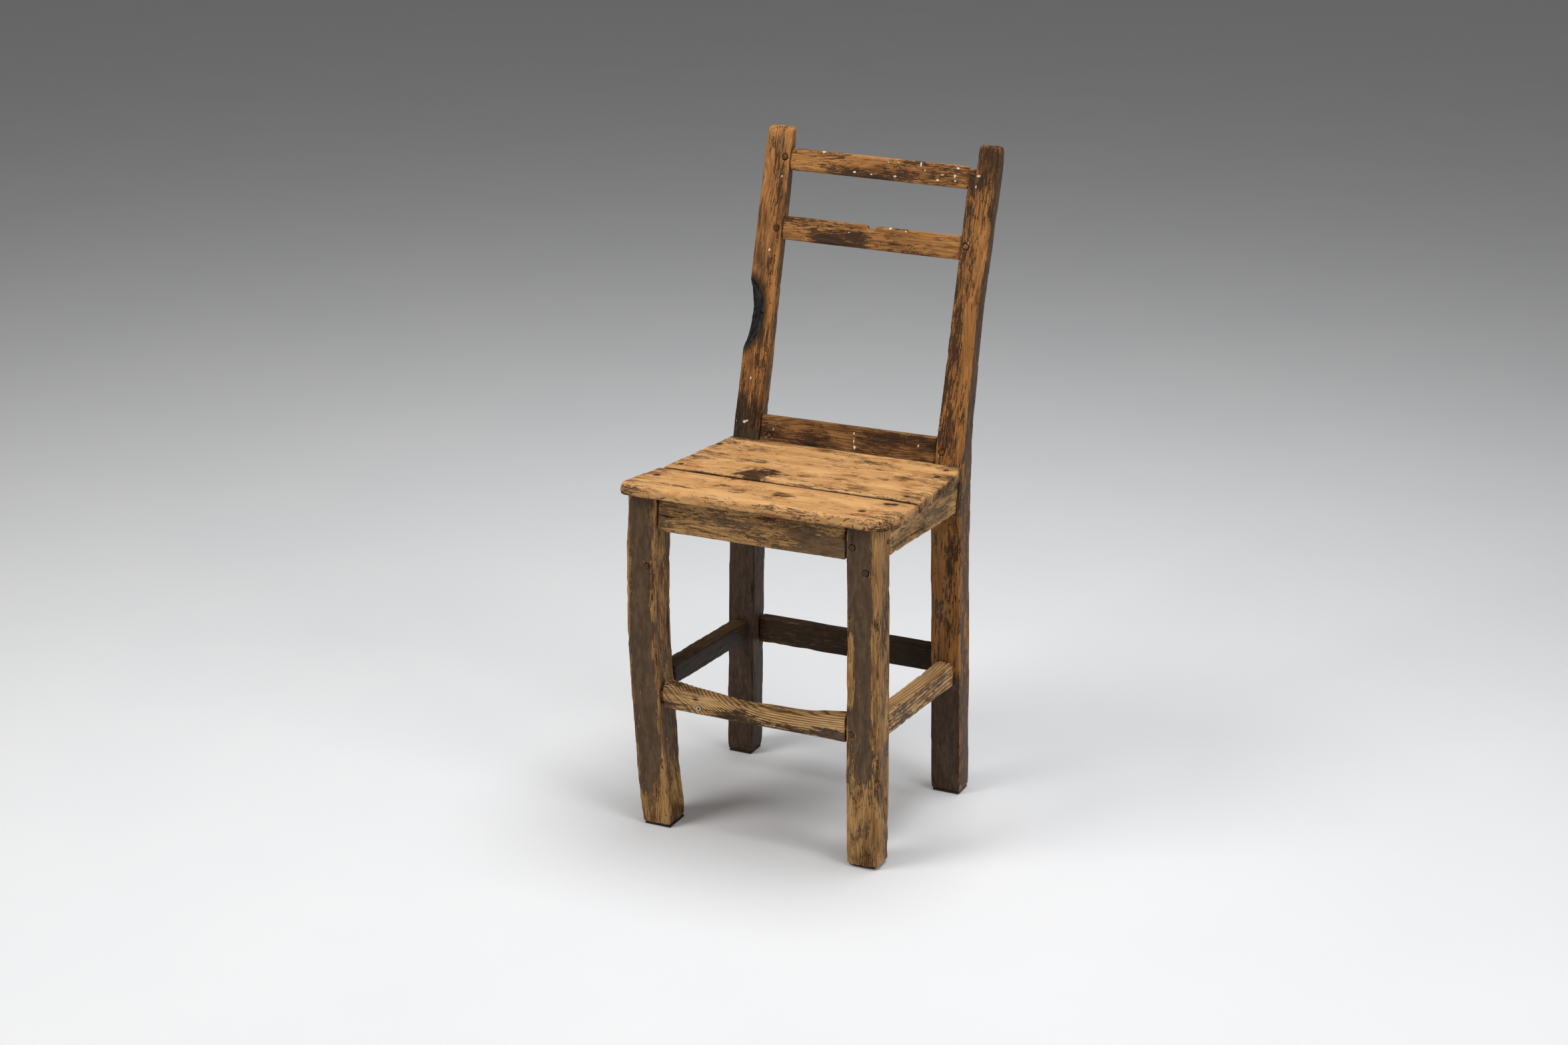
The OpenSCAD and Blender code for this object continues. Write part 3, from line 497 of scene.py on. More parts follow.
def dark_specks(s, g, look):
    """Where the dark dashes and grit are, in groups along the grain."""
    dashes = s.noise(g, (0.075, 0.6, 0.6), 4.0, 0.64)
    grit = s.noise(g, (0.4, 1.4, 1.4), 2.0, 0.5)
    group = s.noise(g, (0.013, 0.045, 0.045), 3.0, 0.6)
    mark = s.weighed(dashes, 0.7, s.times(grit, 0.3))
    mark = s.swing(group, 0.75, mark)
    mark = s.weighed(look["speck"], 0.26, mark)
    return s.times(s.smooth(mark, 0.668, 0.698), s.smooth(look["speck"], 0.0, 0.05))


def paint_left(s, g, look, flake):
    """Where the brown paint is left: its coat in patches, flakes and streaks, and the haze round them."""
    large = s.noise(g, (0.014, 0.045, 0.045), 4.0, 0.62, 0.4)
    long = s.noise(g, (0.035 / flake, 0.38 / flake, 0.38 / flake), 3.0, 0.6)
    small = s.noise(g, (0.16 / flake, 0.7 / flake, 0.7 / flake), 3.0, 0.6)
    cover = s.weighed(long, 0.3, s.times(large, 0.46))
    cover = s.weighed(small, 0.24, cover)
    cover = s.swing(cover, 4.2, 0.5)
    rest = s.math("SUBTRACT", s.weighed(look["wear"], -0.75, look["paint"]), cover)
    painted = s.smooth(look["paint"], 0.0, 0.05)
    coat = s.times(s.smooth(rest, -0.01, 0.02), painted)
    haze = s.times(s.smooth(rest, -0.24, 0.05), painted)
    return coat, haze


def cream_flecks(s, g, look):
    """Where the flecks of a later paint are, strewn and placed."""
    cells = s.cells(g, (0.16, 0.2, 0.2))
    ragged = s.math("SUBTRACT", s.noise(g, (0.5, 0.9, 0.9), 2.0), 0.5)
    spot = s.weighed(ragged, 0.5, cells.outputs["Distance"])
    spot = s.math("SUBTRACT", 1.0, s.smooth(spot, 0.12, 0.2))
    pick = s.add("ShaderNodeSeparateColor")
    s.put(pick.inputs[0], cells.outputs["Color"])
    chosen = s.math("LESS_THAN", pick.outputs[0], s.times(look["fleck"], 0.6))
    placed = s.smooth(s.weighed(ragged, 0.5, look["cream"]), 0.48, 0.56)
    return s.math("MAXIMUM", s.times(spot, chosen), placed)


def wood(name, light, mid, deep, paint=(68, 53, 42), film=(116, 88, 60), dirt=(70, 43, 23), spacing=3.2,
         rings=0.5, warp=9.0, flake=1.0, streaks=0.5, ruddy=0.0):
    """Worn pine with growth rings, dark specks, paint remnants, char and paint flecks.
    The grain attribute holds millimetres along the grain and, from the heart, across it both ways."""
    s = Shader(name)
    g = s.attribute("grain", "Vector")
    look = {key: s.attribute(key) for key in LOOKS}

    # Growth rings: pale early wood with a darker line at the end of each year
    bend = s.noise(g, (0.006, 0.03, 0.03), 2.0)
    radius = s.swing(bend, warp * 4, s.attribute("ring"))
    year = s.math("FRACT", s.math("DIVIDE", radius, spacing))
    late = s.times(s.smooth(year, 0.25, 0.8), s.math("SUBTRACT", 1.0, s.smooth(year, 0.9, 1.0)))
    patchy = s.noise(g, (0.01, 0.05, 0.05), 2.0)
    late = s.times(late, s.smooth(patchy, 0.25, 0.5))

    # Bare wood, paler where it is worn
    fibre = s.noise(g, (0.045, 1.1, 1.1), 3.0, 0.6)
    streak = s.noise(g, (0.028, 0.46, 0.46), 4.0, 0.66)
    tone = s.noise(g, (0.011, 0.05, 0.05), 3.0, 0.6)
    base = s.blend(s.smooth(tone, 0.35, 0.65), colour(*light), colour(*mid))
    base = s.over(base, late, rings, colour(*deep))
    base = s.over(base, s.smooth(fibre, 0.42, 0.75), 0.45, colour(*deep))
    base = s.over(base, s.smooth(streak, 0.5, 0.7), streaks, colour(*deep))
    base = s.over(base, s.smooth(look["wear"], 0.25, 0.9), 0.3, colour(*light))
    if ruddy:
        base = spills_over(s, g, base, ruddy)
    grime = s.noise(g, (0.016, 0.05, 0.05), 5.0, 0.68)
    base = dirt_and_shade_over(s, look, base, grime, streak, dirt)
    specks = dark_specks(s, g, look)
    base = s.over(base, specks, 0.88, colour(46, 32, 22))

    # Brown paint in two shades, rubbed thin in streaks, and the darkest stains over it, which are painted
    # shade on the back posts below the seat
    coat, haze = paint_left(s, g, look, flake)
    base = s.over(base, haze, 0.3, colour(*film))
    shade = s.noise(g, (0.05, 0.16, 0.16), 4.0, 0.65)
    coat_colour = s.blend(s.smooth(shade, 0.36, 0.66), colour(*paint), colour(*[v * 1.3 for v in paint]))
    rub = s.noise(g, (0.07, 0.9, 0.9), 3.0)
    coat_colour = s.over(coat_colour, s.smooth(rub, 0.56, 0.7), 0.55, colour(*film))
    base = s.blend(coat, base, coat_colour)
    # Near black where the stain look is highest: real spills and rust round the nails, and painted shade
    # on the back posts below the seat
    base = s.over(base, s.smooth(look["stain_and_shade"], 0.7, 1.3), 0.7, colour(26, 19, 14))
    fleck = cream_flecks(s, g, look)
    base = s.over(base, fleck, 0.92, colour(214, 202, 178))

    # Charred wood, split into blocks, with a browned edge
    soot = s.swing(grime, 0.3, look["char"])
    base = s.over(base, s.smooth(soot, 0.05, 0.5), 0.88, colour(50, 31, 19))
    black = s.smooth(soot, 0.48, 0.58)
    ash = s.blend(s.smooth(shade, 0.42, 0.66), colour(20, 18, 18), colour(58, 55, 54))
    base = s.blend(black, base, ash)
    blocks = s.cells(g, (0.2, 0.28, 0.28), "DISTANCE_TO_EDGE")
    split = s.math("SUBTRACT", 1.0, s.smooth(blocks.outputs["Distance"], 0.0, 0.12))
    base = s.blend(look["crack"], base, colour(20, 14, 10))
    s.put(s.bsdf.inputs["Base Color"], base)

    rough_wood = s.mix(s.smooth(fibre, 0.3, 0.7), 0.5, 0.68)
    rough_coat = s.mix(coat, rough_wood, 0.5)
    s.put(s.bsdf.inputs["Roughness"], s.mix(black, rough_coat, 0.6))
    s.bsdf.inputs["Specular IOR Level"].default_value = 0.12

    # Late wood, fibres, paint and flecks stand up; specks and the splits in the char are sunk
    height = s.weighed(late, 0.35, s.times(fibre, 0.35))
    height = s.weighed(coat, 0.6, height)
    height = s.weighed(fleck, 0.6, height)
    height = s.weighed(specks, -0.4, height)
    height = s.weighed(s.times(split, black), -1.6, height)
    height = s.weighed(shade, 0.4, height)
    s.put(s.bsdf.inputs["Normal"], s.bump(height, 0.6, 0.9))
    return s.material


def old_iron():
    """Dark iron with rust."""
    s = Shader("old_iron_rusty")
    g = s.attribute("grain", "Vector")
    rust = s.smooth(s.noise(g, (0.9, 0.9, 0.9), 4.0, 0.65), 0.42, 0.62)
    base = s.blend(rust, colour(38, 32, 29), colour(92, 56, 36))
    s.put(s.bsdf.inputs["Base Color"], base)
    s.bsdf.inputs["Metallic"].default_value = 0.55
    s.put(s.bsdf.inputs["Roughness"], s.mix(rust, 0.45, 0.8))
    s.put(s.bsdf.inputs["Normal"], s.bump(s.noise(g, (2.0, 2.0, 2.0), 3.0), 0.25, 0.8))
    return s.material


def zinc():
    """Dulled zinc with dirt in its recess."""
    s = Shader("zinc_dulled")
    g = s.attribute("grain", "Vector")
    dull = s.smooth(s.noise(g, (0.8, 0.8, 0.8), 4.0, 0.6), 0.4, 0.66)
    base = s.blend(dull, colour(196, 190, 176), colour(150, 138, 118))
    base = s.blend(s.attribute("stain_and_shade"), base, colour(34, 26, 20))
    s.put(s.bsdf.inputs["Base Color"], base)
    s.bsdf.inputs["Metallic"].default_value = 0.85
    s.put(s.bsdf.inputs["Roughness"], s.mix(dull, 0.3, 0.5))
    s.put(s.bsdf.inputs["Normal"], s.bump(s.noise(g, (2.5, 2.5, 2.5), 2.0), 0.08, 0.6))
    return s.material


def black_pad():
    """Matt black pad with dust at its edges."""
    s = Shader("black_pad_dusty")
    g = s.attribute("grain", "Vector")
    dust = s.smooth(s.noise(g, (0.25, 0.25, 0.25), 4.0, 0.6), 0.5, 0.75)
    s.put(s.bsdf.inputs["Base Color"], s.over(colour(24, 23, 23), dust, 0.35, colour(88, 80, 72)))
    s.put(s.bsdf.inputs["Roughness"], s.mix(dust, 0.75, 0.9))
    s.put(s.bsdf.inputs["Normal"], s.bump(s.noise(g, (1.6, 1.6, 1.6), 3.0), 0.2, 0.7))
    return s.material


def studio_floor():
    """A plain pale floor."""
    s = Shader("pale_floor")
    place = s.add("ShaderNodeTexCoord").outputs["Object"]
    faint = s.noise(place, (3.0, 3.0, 3.0), 3.0)
    s.put(s.bsdf.inputs["Base Color"], s.blend(faint, colour(226, 228, 231), colour(232, 233, 235)))
    s.put(s.bsdf.inputs["Roughness"], s.mix(faint, 0.62, 0.7))
    return s.material


# ---- The wood of the chair -------------------------------------------------------------------

POST_WOOD = wood("post_wood", (168, 116, 63), (146, 98, 52), (98, 61, 31), film=(136, 108, 74),
                 spacing=3.4, rings=0.4, streaks=0.4)
SLAT_WOOD = wood("slat_wood", (170, 120, 66), (148, 100, 53), (98, 62, 31), spacing=2.8, rings=0.4,
                 streaks=0.35)
RAIL_WOOD = wood("rail_wood", (150, 107, 62), (120, 81, 44), (70, 45, 24), dirt=(58, 37, 20),
                 spacing=3.4, rings=0.65)
LEG_WOOD = wood("leg_wood", (184, 141, 88), (158, 117, 71), (106, 75, 43), paint=(74, 58, 43), spacing=3.2,
                rings=0.55, flake=0.75, streaks=0.35)
APRON_WOOD = wood("apron_wood", (190, 149, 96), (170, 129, 80), (116, 84, 49), paint=(88, 68, 48),
                  film=(132, 103, 66), spacing=2.6, rings=0.45, streaks=0.3)
SEAT_WOOD = wood("seat_wood", (206, 160, 106), (188, 140, 88), (146, 102, 58), dirt=(100, 65, 34),
                 spacing=4.4, rings=0.3, warp=14.0, streaks=0.14, ruddy=0.6)
STEP_WOOD = wood("step_wood", (210, 168, 114), (188, 146, 95), (80, 55, 33), spacing=2.9, rings=0.85,
                 warp=1.6, streaks=0.3)
DARK_WOOD = wood("dark_wood", (98, 75, 46), (76, 57, 37), (50, 36, 23), paint=(40, 31, 23),
                 film=(60, 46, 32))
PEG_WOOD = wood("peg_wood", (138, 101, 60), (112, 79, 46), (64, 43, 25), spacing=1.1, rings=0.6, warp=1.5)


def across_grain(p, heart_y, heart_z, lean=0.0):
    """Grain along x, with the heart of the tree at a distance. A lean follows the face of the back."""
    x, y, z = p.co.T
    return x, y - lean * z - heart_y, z - heart_z


def upright_grain(p, heart_x, heart_y, lean=0.0):
    """Grain along z. A lean follows the back posts above the seat."""
    x, y, z = p.co.T
    back = np.clip(z - KNEE_Z, 0, BEND_Z - KNEE_Z) * KNEE_SLOPE
    back += np.clip(z - BEND_Z, 0, None) * math.tan(LEAN)
    return z, x - heart_x, y - lean * back - heart_y


def side_grain(p, heart_x, heart_z):
    """Grain along y, falling to the back."""
    x, y, z = p.co.T
    return y, x - heart_x, z + SEAT_FALL * y - heart_z


def stretcher_rings(p):
    """Rings that sweep up to the left end, as on a stretcher cut near a branch."""
    x, y, z = p.co.T
    away = x - 25
    return np.hypot(0.6 * (y + 34), z - 120 - np.where(away < 0, 0.0034, 0.0004) * away**2)


def facing(p, axis, sign):
    """1 where the surface faces along an axis, 0 where it faces another way."""
    return smooth(sign * p.normal[:, axis], 0.35, 0.8)


def upward(p, low=0.3, high=0.7):
    """1 on the top of a rail, a slat or the seat."""
    return smooth(p.normal[:, 2], low, high)


def weather(p, seed, along, gentle=1.0):
    """Slow waves and fine hollows that all the worn wood shares."""
    scale = np.array([1 / 22.0] * 3)
    scale[along] = 1 / 90.0
    fine = np.array([1 / 5.0] * 3)
    fine[along] = 1 / 24.0
    depth = 0.35 + 0.35 * noise(p.co * scale, seed) + 0.22 * noise(p.co * fine, seed + 9)
    p.push(gentle * depth)


def front_left_leg():
    p = Piece("front_left_leg", 1.8)
    z = p.co[:, 2]
    p.wear(16, 0.45 + 0.4 * noise(p.co / 30.0, 1) + 0.5 * smooth(z, 30, 6))
    weather(p, 11, 2)
    p.nicks(60, 21, (2, 6), (0.2, 0.9), p.arrises(), 2, 3.0)
    p.nicks(30, 22, (1.5, 4), (0.2, 0.5), None, 2, 3.0)
    p.find_normals()
    x, y, z = p.co.T
    front, inner = facing(p, 1, -1), facing(p, 0, 1)
    # The paint has gone from the foot, from a patch high on the front and from the outer corner above it
    paint = 0.62 + 0.2 * front - 0.25 * inner * smooth(z, 120, 260) - 0.6 * smooth(z, 90, 20)
    paint -= 0.4 * front * hill(x, -168, 13) * hill(z, 360, 80)
    paint -= 0.35 * front * smooth(z, 400, 440) * smooth(x, -165, -185)
    p.bare_edges(0.75)
    p.looks["paint"] = paint
    p.looks["speck"] = 0.34
    p.looks["stain_and_shade"] = 0.12 + 0.25 * smooth(z, 60, 5) + 0.35 * smooth(z, 435, 452) + 0.2 * inner
    p.finish(LEG_WOOD, upright_grain(p, -195, 42))


def front_right_leg():
    p = Piece("front_right_leg", 1.8)

    def bare_bay():
        """The stretch of the inner edge that has lost its paint and some wood."""
        x, y, z = p.co.T
        return smooth(hill(z, 262, 62), 0.0, 0.5) * smooth(x, 141, 135) * facing(p, 1, -1)

    p.wear(14, 0.4 + 0.4 * noise(p.co / 30.0, 2) + 0.6 * smooth(p.co[:, 2], 30, 6))
    weather(p, 12, 2)
    p.push(1.4 * bare_bay())
    p.nicks(60, 23, (2, 6), (0.2, 0.9), p.arrises(), 2, 3.0)
    p.nicks(30, 24, (1.5, 4), (0.2, 0.5), None, 2, 3.0)
    p.dent((131, 0, 409), (2.2, 4, 2.2), 2.2)
    p.find_normals()
    x, y, z = p.co.T
    front, right = facing(p, 1, -1), facing(p, 0, 1)
    # The paint has gone from the outer arris, the bay, and most of the foot and of the right side
    arris = hill(x - y, 166, 9) * smooth(z, 150, 200)
    paint = 0.66 + 0.24 * front * smooth(z, 150, 220) - 0.35 * front * smooth(z, 165, 90) - 0.35 * right
    p.bare_edges(0.6)
    bay = bare_bay()
    p.looks["paint"] = paint - 1.2 * bay - 0.75 * arris
    p.looks["speck"] = 0.34 - 0.3 * bay
    p.looks["stain_and_shade"] = 0.12 + 0.25 * smooth(z, 40, 5) + 0.3 * smooth(z, 440, 455) - 0.12 * bay
    p.finish(LEG_WOOD, upright_grain(p, 120, 70))


def above_seat(p, seed):
    """1 above the seat, where the posts have lost their brown paint, with a ragged edge."""
    ragged = 26 * noise(p.co / np.array([11.0, 14.0, 40.0]), seed)
    return smooth(p.co[:, 2] + ragged, 425, 495)


def from_burn(p):
    """Distance of each point from the surface of the burnt hollow."""
    return np.linalg.norm(p.co - BURN_CENTRE, axis=1) - BURN_RADIUS


def back_left_post():
    p = Piece("back_left_post", 1.9)
    z = p.co[:, 2]
    p.wear(12, 0.4 + 0.35 * noise(p.co / 34.0, 3) + 0.7 * smooth(z, 825, 842) + 0.5 * smooth(z, 24, 6))
    p.wear(10, 0.8 * smooth(p.co[:, 2], 826, 842))
    weather(p, 13, 2)
    # The burnt hollow is rough, with a split across it
    p.push(smooth(from_burn(p), 1.5, 0.2) * (0.5 + 0.9 * noise(p.co / np.array([9.0, 9.0, 5.0]), 8)))
    p.crack([(-157, 326, 611), (-144, 317, 613), (-131, 306, 611)], 2.0, 3.2)
    p.nicks(50, 25, (2, 5), (0.2, 0.8), p.arrises(), 2, 3.0)
    p.nicks(40, 26, (1.5, 4), (0.15, 0.5), None, 2, 3.0)
    p.back_flecks(LEFT_POST_FLECKS)
    p.find_normals()
    x, y, z = p.co.T
    above = above_seat(p, 70)
    front, side = facing(p, 1, -1), facing(p, 0, 1) + facing(p, 0, -1)
    p.looks["char"] = np.interp(from_burn(p), [1.4, 2.4, 14.0], [1.0, 0.55, 0.0])
    p.bare_edges(0.5)
    # Below the seat it is thickly painted and lies in grime, darkened further by painted shade from the
    # seat. Above it, paint is left on the sides only
    p.looks["paint"] = (1 - above) * (1.05 - 0.3 * side) + above * (0.06 + 0.55 * side)
    p.looks["speck"] = 0.42 + 0.35 * smooth(z, 560, 480) + 0.2 * hill(z, 760, 70)
    dark = 0.55 * smooth(z, 560, 460) + 0.4 * hill(z, 690, 60) * smooth(x, -132, -152)
    # Painted shade under the seat, strongest on the front faces
    shaded = 0.8 + 0.5 * smooth(y, 286, 262)
    p.looks["stain_and_shade"] = above * (0.22 + dark) * (0.6 + 0.4 * front) + (1 - above) * (0.15 + shaded)
    p.finish(POST_WOOD, upright_grain(p, -178, 320, 1.0))


def back_right_post():
    p = Piece("back_right_post", 1.9)
    z = p.co[:, 2]
    p.wear(12, 0.4 + 0.35 * noise(p.co / 34.0, 4) + 0.7 * smooth(z, 820, 838) + 0.5 * smooth(z, 24, 6))
    p.wear(8, 0.8 * smooth(p.co[:, 2], 822, 838))
    weather(p, 14, 2)
    x, y, z = p.co.T
    # The torn edge where a chunk has come away
    torn = smooth(x, 146, 141) * smooth(z, 800, 808)
    p.push(torn * (0.4 + 1.3 * noise(p.co / np.array([4.0, 5.0, 8.0]), 9)))
    p.dent((150, 331, 706), (9, 14, 18), 0.8)
    p.nicks(50, 27, (2, 5), (0.2, 0.8), p.arrises(), 2, 3.0)
    p.nicks(40, 28, (1.5, 4), (0.15, 0.5), None, 2, 3.0)
    p.back_flecks(RIGHT_POST_FLECKS)
    p.find_normals()
    x, y, z = p.co.T
    above = above_seat(p, 71)
    front, side = facing(p, 1, -1), facing(p, 0, 1) + facing(p, 0, -1)
    # Below the side stretcher its front is dark with paint and painted shade, and its outer side is the
    # palest
    low = smooth(z + 24 * noise(p.co / np.array([12.0, 12.0, 36.0]), 72), 205, 150)
    outside = facing(p, 0, 1)
    below = 0.3 + (0.6 * low + 0.4 * smooth(z, 380, 430)) * (1 - 0.7 * outside) + 0.2 * outside
    p.bare_edges(0.5)
    p.looks["paint"] = (1 - above) * below + above * (0.06 + 0.86 * side)
    p.looks["speck"] = 0.42 + 0.3 * hill(z, 560, 120) * smooth(x, 156, 140) + 0.2 * smooth(z, 720, 760)
    dark = 0.28 * smooth(z, 540, 460) + 0.25 * smooth(z, 735, 790)
    p.looks["stain_and_shade"] = above * (0.2 + dark) + 0.5 * torn
    # Painted shade: on the front below the side stretcher, and on the outer side above the seat
    p.looks["stain_and_shade"] += (1 - above) * front * low * 1.1 + 0.35 * above * outside
    p.looks["fleck"] = 0.3 * torn
    p.finish(POST_WOOD, upright_grain(p, 210, 330, 1.0))


def front_apron():
    p = Piece("front_apron", 1.5)
    p.wear(8, 0.5 + 0.4 * noise(p.co / 26.0, 5))
    weather(p, 15, 0)
    p.crack([(-127, 1, 426), (-114, 1, 425.5), (-103, 1, 425)], 1.3, 2.2)
    p.nicks(26, 29, (1.5, 4.5), (0.2, 0.7), p.arrises(), 0, 3.0)
    p.find_normals()
    x, y, z = p.co.T
    p.bare_edges(0.5)
    # More paint is left low down on the right. Grime lies under the seat and at both legs
    p.looks["paint"] = 0.4 + 0.35 * smooth(x, 10, 110) * smooth(z, 442, 420) - 0.12 * hill(x, -60, 90)
    p.looks["speck"] = 0.45
    ends = 0.5 * smooth(x, -118, -128) + 0.4 * smooth(x, 118, 127)
    p.looks["stain_and_shade"] = 0.15 + 0.5 * smooth(z, 440, 451) + ends
    p.finish(APRON_WOOD, across_grain(p, 60, 380))


def side_apron(node, seed, heart_x):
    p = Piece(node, 1.6)
    p.wear(8, 0.5 + 0.4 * noise(p.co / 26.0, seed))
    weather(p, seed + 10, 1)
    if node == "right_apron":
        p.crack([(170, 45, 411), (170, 90, 412), (170, 150, 408)], 1.0, 1.8)
    p.nicks(22, seed + 30, (1.5, 4.5), (0.2, 0.7), p.arrises(), 1, 3.0)
    p.find_normals()
    x, y, z = p.co.T
    p.bare_edges(0.5)
    p.looks["paint"] = 0.42
    p.looks["speck"] = 0.42
    p.looks["stain_and_shade"] = 0.15 + 0.5 * smooth(z + SEAT_FALL * y, 436, 450)
    p.finish(APRON_WOOD, side_grain(p, heart_x, 380))


def lower_back_rail():
    p = Piece("lower_back_rail", 1.5)
    p.wear(10, 0.5 + 0.4 * noise(p.co / 26.0, 6))
    weather(p, 16, 0)
    p.nicks(26, 31, (1.5, 4), (0.2, 0.7), p.arrises(), 0, 3.0)
    p.back_flecks(RAIL_FLECKS)
    p.find_normals()
    x, y, z = p.co.T
    top = upward(p)
    p.looks["stain_and_shade"] = 0.12 + (1 - top) * (0.22 + 0.25 * smooth(z, 472, 452) + 0.25 * hill(x, -40, 40))
    p.looks["speck"] = 0.6 - 0.3 * top
    p.finish(RAIL_WOOD, across_grain(p, 130, 420, math.tan(LEAN)))


def tear_nick(p):
    """The nick in the top edge of the middle slat."""
    p.refine(lambda co: (np.abs(co[:, 0] - NICK_X) < 9) & (up_back(co) > NICK_UP))
    aside = np.abs(p.co[:, 0] - NICK_X + noise(p.co / 3.0, 3))
    nick = smooth(aside, 6.5, 4.0) * smooth(up_back(p.co), NICK_UP, NICK_UP + 4)
    p.push(nick * (3.0 + 1.4 * noise(p.co / 2.5, 4)))


def back_slat(node, seed, heart, middle, flecks):
    p = Piece(node, 1.3)
    p.wear(12, 0.4 + 0.35 * noise(p.co / 24.0, seed) + 0.35 * upward(p, 0.1, 0.6))
    weather(p, seed + 10, 0, 0.8)
    if node == "middle_back_slat":
        tear_nick(p)
    p.nicks(34, seed + 40, (1.5, 4), (0.2, 0.8), p.arrises(), 0, 3.0)
    p.nicks(20, seed + 41, (1.2, 3), (0.15, 0.5), None, 0, 3.0)
    p.back_flecks(flecks, middle)
    p.find_normals()
    x, y, z = p.co.T
    middle_z = middle * math.cos(LEAN) + BEND_Z
    low = smooth(z, middle_z + 4, middle_z - 6)
    top = upward(p, 0.2, 0.7)
    # Dark marks: two on the middle slat, one low on the top slat. The nick is paler, and the top edge is
    # paler from wear and a painted highlight
    if node == "middle_back_slat":
        mark = np.maximum(0.8 * hill(x, -62, 46), hill(x, -12, 24) * smooth(z, 730, 716))
        torn = smooth(np.abs(x - NICK_X), 8, 5) * smooth(up_back(p.co), NICK_UP - 1, NICK_UP + 3)
    else:
        mark = hill(x, -50, 44) * low
        torn = 0
    p.looks["paint"] = 0.08
    p.looks["speck"] = 0.48 + 0.6 * mark - 0.5 * torn
    # Less stain and more wear on the top edge: partly real wear, partly painted highlight
    p.looks["stain_and_shade"] = 0.16 + 0.12 * mark + 0.12 * low - 0.16 * top
    p.at_least("wear", np.maximum(torn, 0.6 * top))
    p.finish(SLAT_WOOD, across_grain(p, *heart, math.tan(LEAN)))


def front_stretcher():
    p = Piece("front_stretcher", 1.15)
    ends = smooth(np.abs(p.co[:, 0]), 108, 124)
    p.wear(20, (0.55 + 0.4 * noise(p.co / 26.0, 7)) * (1 - 0.85 * ends))
    weather(p, 17, 0)
    # The rings stand out where feet have worn the soft wood between them
    p.push(0.2 * np.sin(2 * math.pi * stretcher_rings(p) / 2.9) * smooth(p.co[:, 2], 168, 184))
    p.nicks(24, 33, (1.5, 4.5), (0.2, 0.8), None, 0, 3.0)
    p.dent((-85, 0, 174), (2.0, 3, 2.0), 2.0)
    p.drip((31, 1, 171), (1.0, 1.0))
    p.find_normals()
    x, y, z = p.co.T
    # Feet have left paint only low down and towards the ends, and there is a dark spot on the arris
    low = smooth(z, 186, 174)
    p.looks["paint"] = 0.02 + low * (0.1 + 0.3 * smooth(x, -60, -120) + 0.65 * smooth(x, 50, 115))
    p.looks["speck"] = 0.22 + 0.25 * low
    p.looks["stain_and_shade"] = 0.12 + 0.4 * low * smooth(x, -60, -120) + 0.8 * hill(x, -79, 7) * hill(z, 187, 6)
    p.finish(STEP_WOOD, across_grain(p, -34, 150), stretcher_rings(p))


def side_stretcher(node, seed, heart_x, material):
    p = Piece(node, 1.35)
    p.wear(12, 0.5 + 0.4 * noise(p.co / 26.0, seed))
    weather(p, seed + 10, 1)
    if node == "right_stretcher":
        p.crack([(160, 251, 189), (157.5, 225, 190), (158, 200, 191), (159, 170, 192)], 0.9, 2.0)
        p.crack([(169, 251, 181), (169, 238, 181)], 1.2, 2.2)
    p.nicks(24, seed + 50, (1.5, 4.5), (0.2, 0.8), p.arrises(), 1, 3.0)
    p.find_normals()
    top = upward(p, 0.3, 0.75)
    p.looks["paint"] = 0.4 - 0.4 * top if node == "right_stretcher" else 0.9 - 0.5 * top
    p.looks["speck"] = 0.26
    p.looks["stain_and_shade"] = 0.04
    p.at_least("wear", 0.7 * top)
    p.finish(material, side_grain(p, heart_x, 150))


def rear_stretcher():
    p = Piece("rear_stretcher", 1.6)
    p.wear(8, 0.5 + 0.4 * noise(p.co / 26.0, 19))
    weather(p, 29, 0)
    p.nicks(20, 61, (1.5, 4.5), (0.2, 0.7), p.arrises(), 0, 3.0)
    p.find_normals()
    p.looks["paint"] = 0.5
    p.looks["speck"] = 0.6
    p.looks["stain_and_shade"] = 0.3
    p.finish(DARK_WOOD, across_grain(p, 230, 140))


def chew_front_edge(p, seed):
    """The dented and gouged rim of the front board, and the scars behind it."""
    x, y, z = p.co.T
    rim = smooth(y, -8, -14) * smooth(z, 452, 456)
    p.nicks(50, seed + 62, (2, 6), (0.5, 1.6), rim, 0, 2.0)
    p.gouges(70, seed + 63, (5, 14), (0.5, 1.3), rim * (0.15 + smooth(x, -60, 40)), (0.3, 1.9))
    p.gouges(30, seed + 64, (6, 18), (0.4, 1.0), rim, (-0.25, 0.25))
    p.crack([(17, 27, 465), (31, 29, 465), (46, 31, 465)], 3.8, 2.4, fine=1)
    p.crack([(23, 36, 464.5), (33, 34, 464.5)], 2.3, 1.5, fine=1, dark=0.8)
    p.crack([(-36, 13, 466), (-26, 15, 466), (-16, 17, 466)], 3.0, 1.6, fine=1, dark=0.75)


def scratch_back_board(p):
    """Two long curved scratches."""
    p.crack([(-58, 142, 459), (-30, 150, 459), (0, 152, 459)], 1.4, 0.3, fine=1, dark=0.45)
    long_one = [(5, 122, 460), (45, 134, 459), (80, 128, 460), (104, 112, 461)]
    p.crack(long_one, 1.4, 0.3, fine=1, dark=0.55)


def open_joint(p, front):
    """The front board has worn lower than the other at their joint, which holds dirt."""
    p.refine(lambda co: np.abs(co[:, 1] - JOINT_Y) < 4)
    x, y, z = p.co.T
    if front:
        p.co[:, 2] -= 1.8 * smooth(y, JOINT_Y - 11.6, JOINT_Y - 0.6) * smooth(z, 455, 461)
        joint = smooth(y, JOINT_Y - 3.8, JOINT_Y - 2.0) * smooth(z, 456, 459)
    else:
        joint = smooth(y, JOINT_Y + 1.8, JOINT_Y + 0.8) * smooth(z, 450, 454)
    p.at_least("crack", joint * (0.95 + 0.2 * noise(p.co / 6.0, 12)))


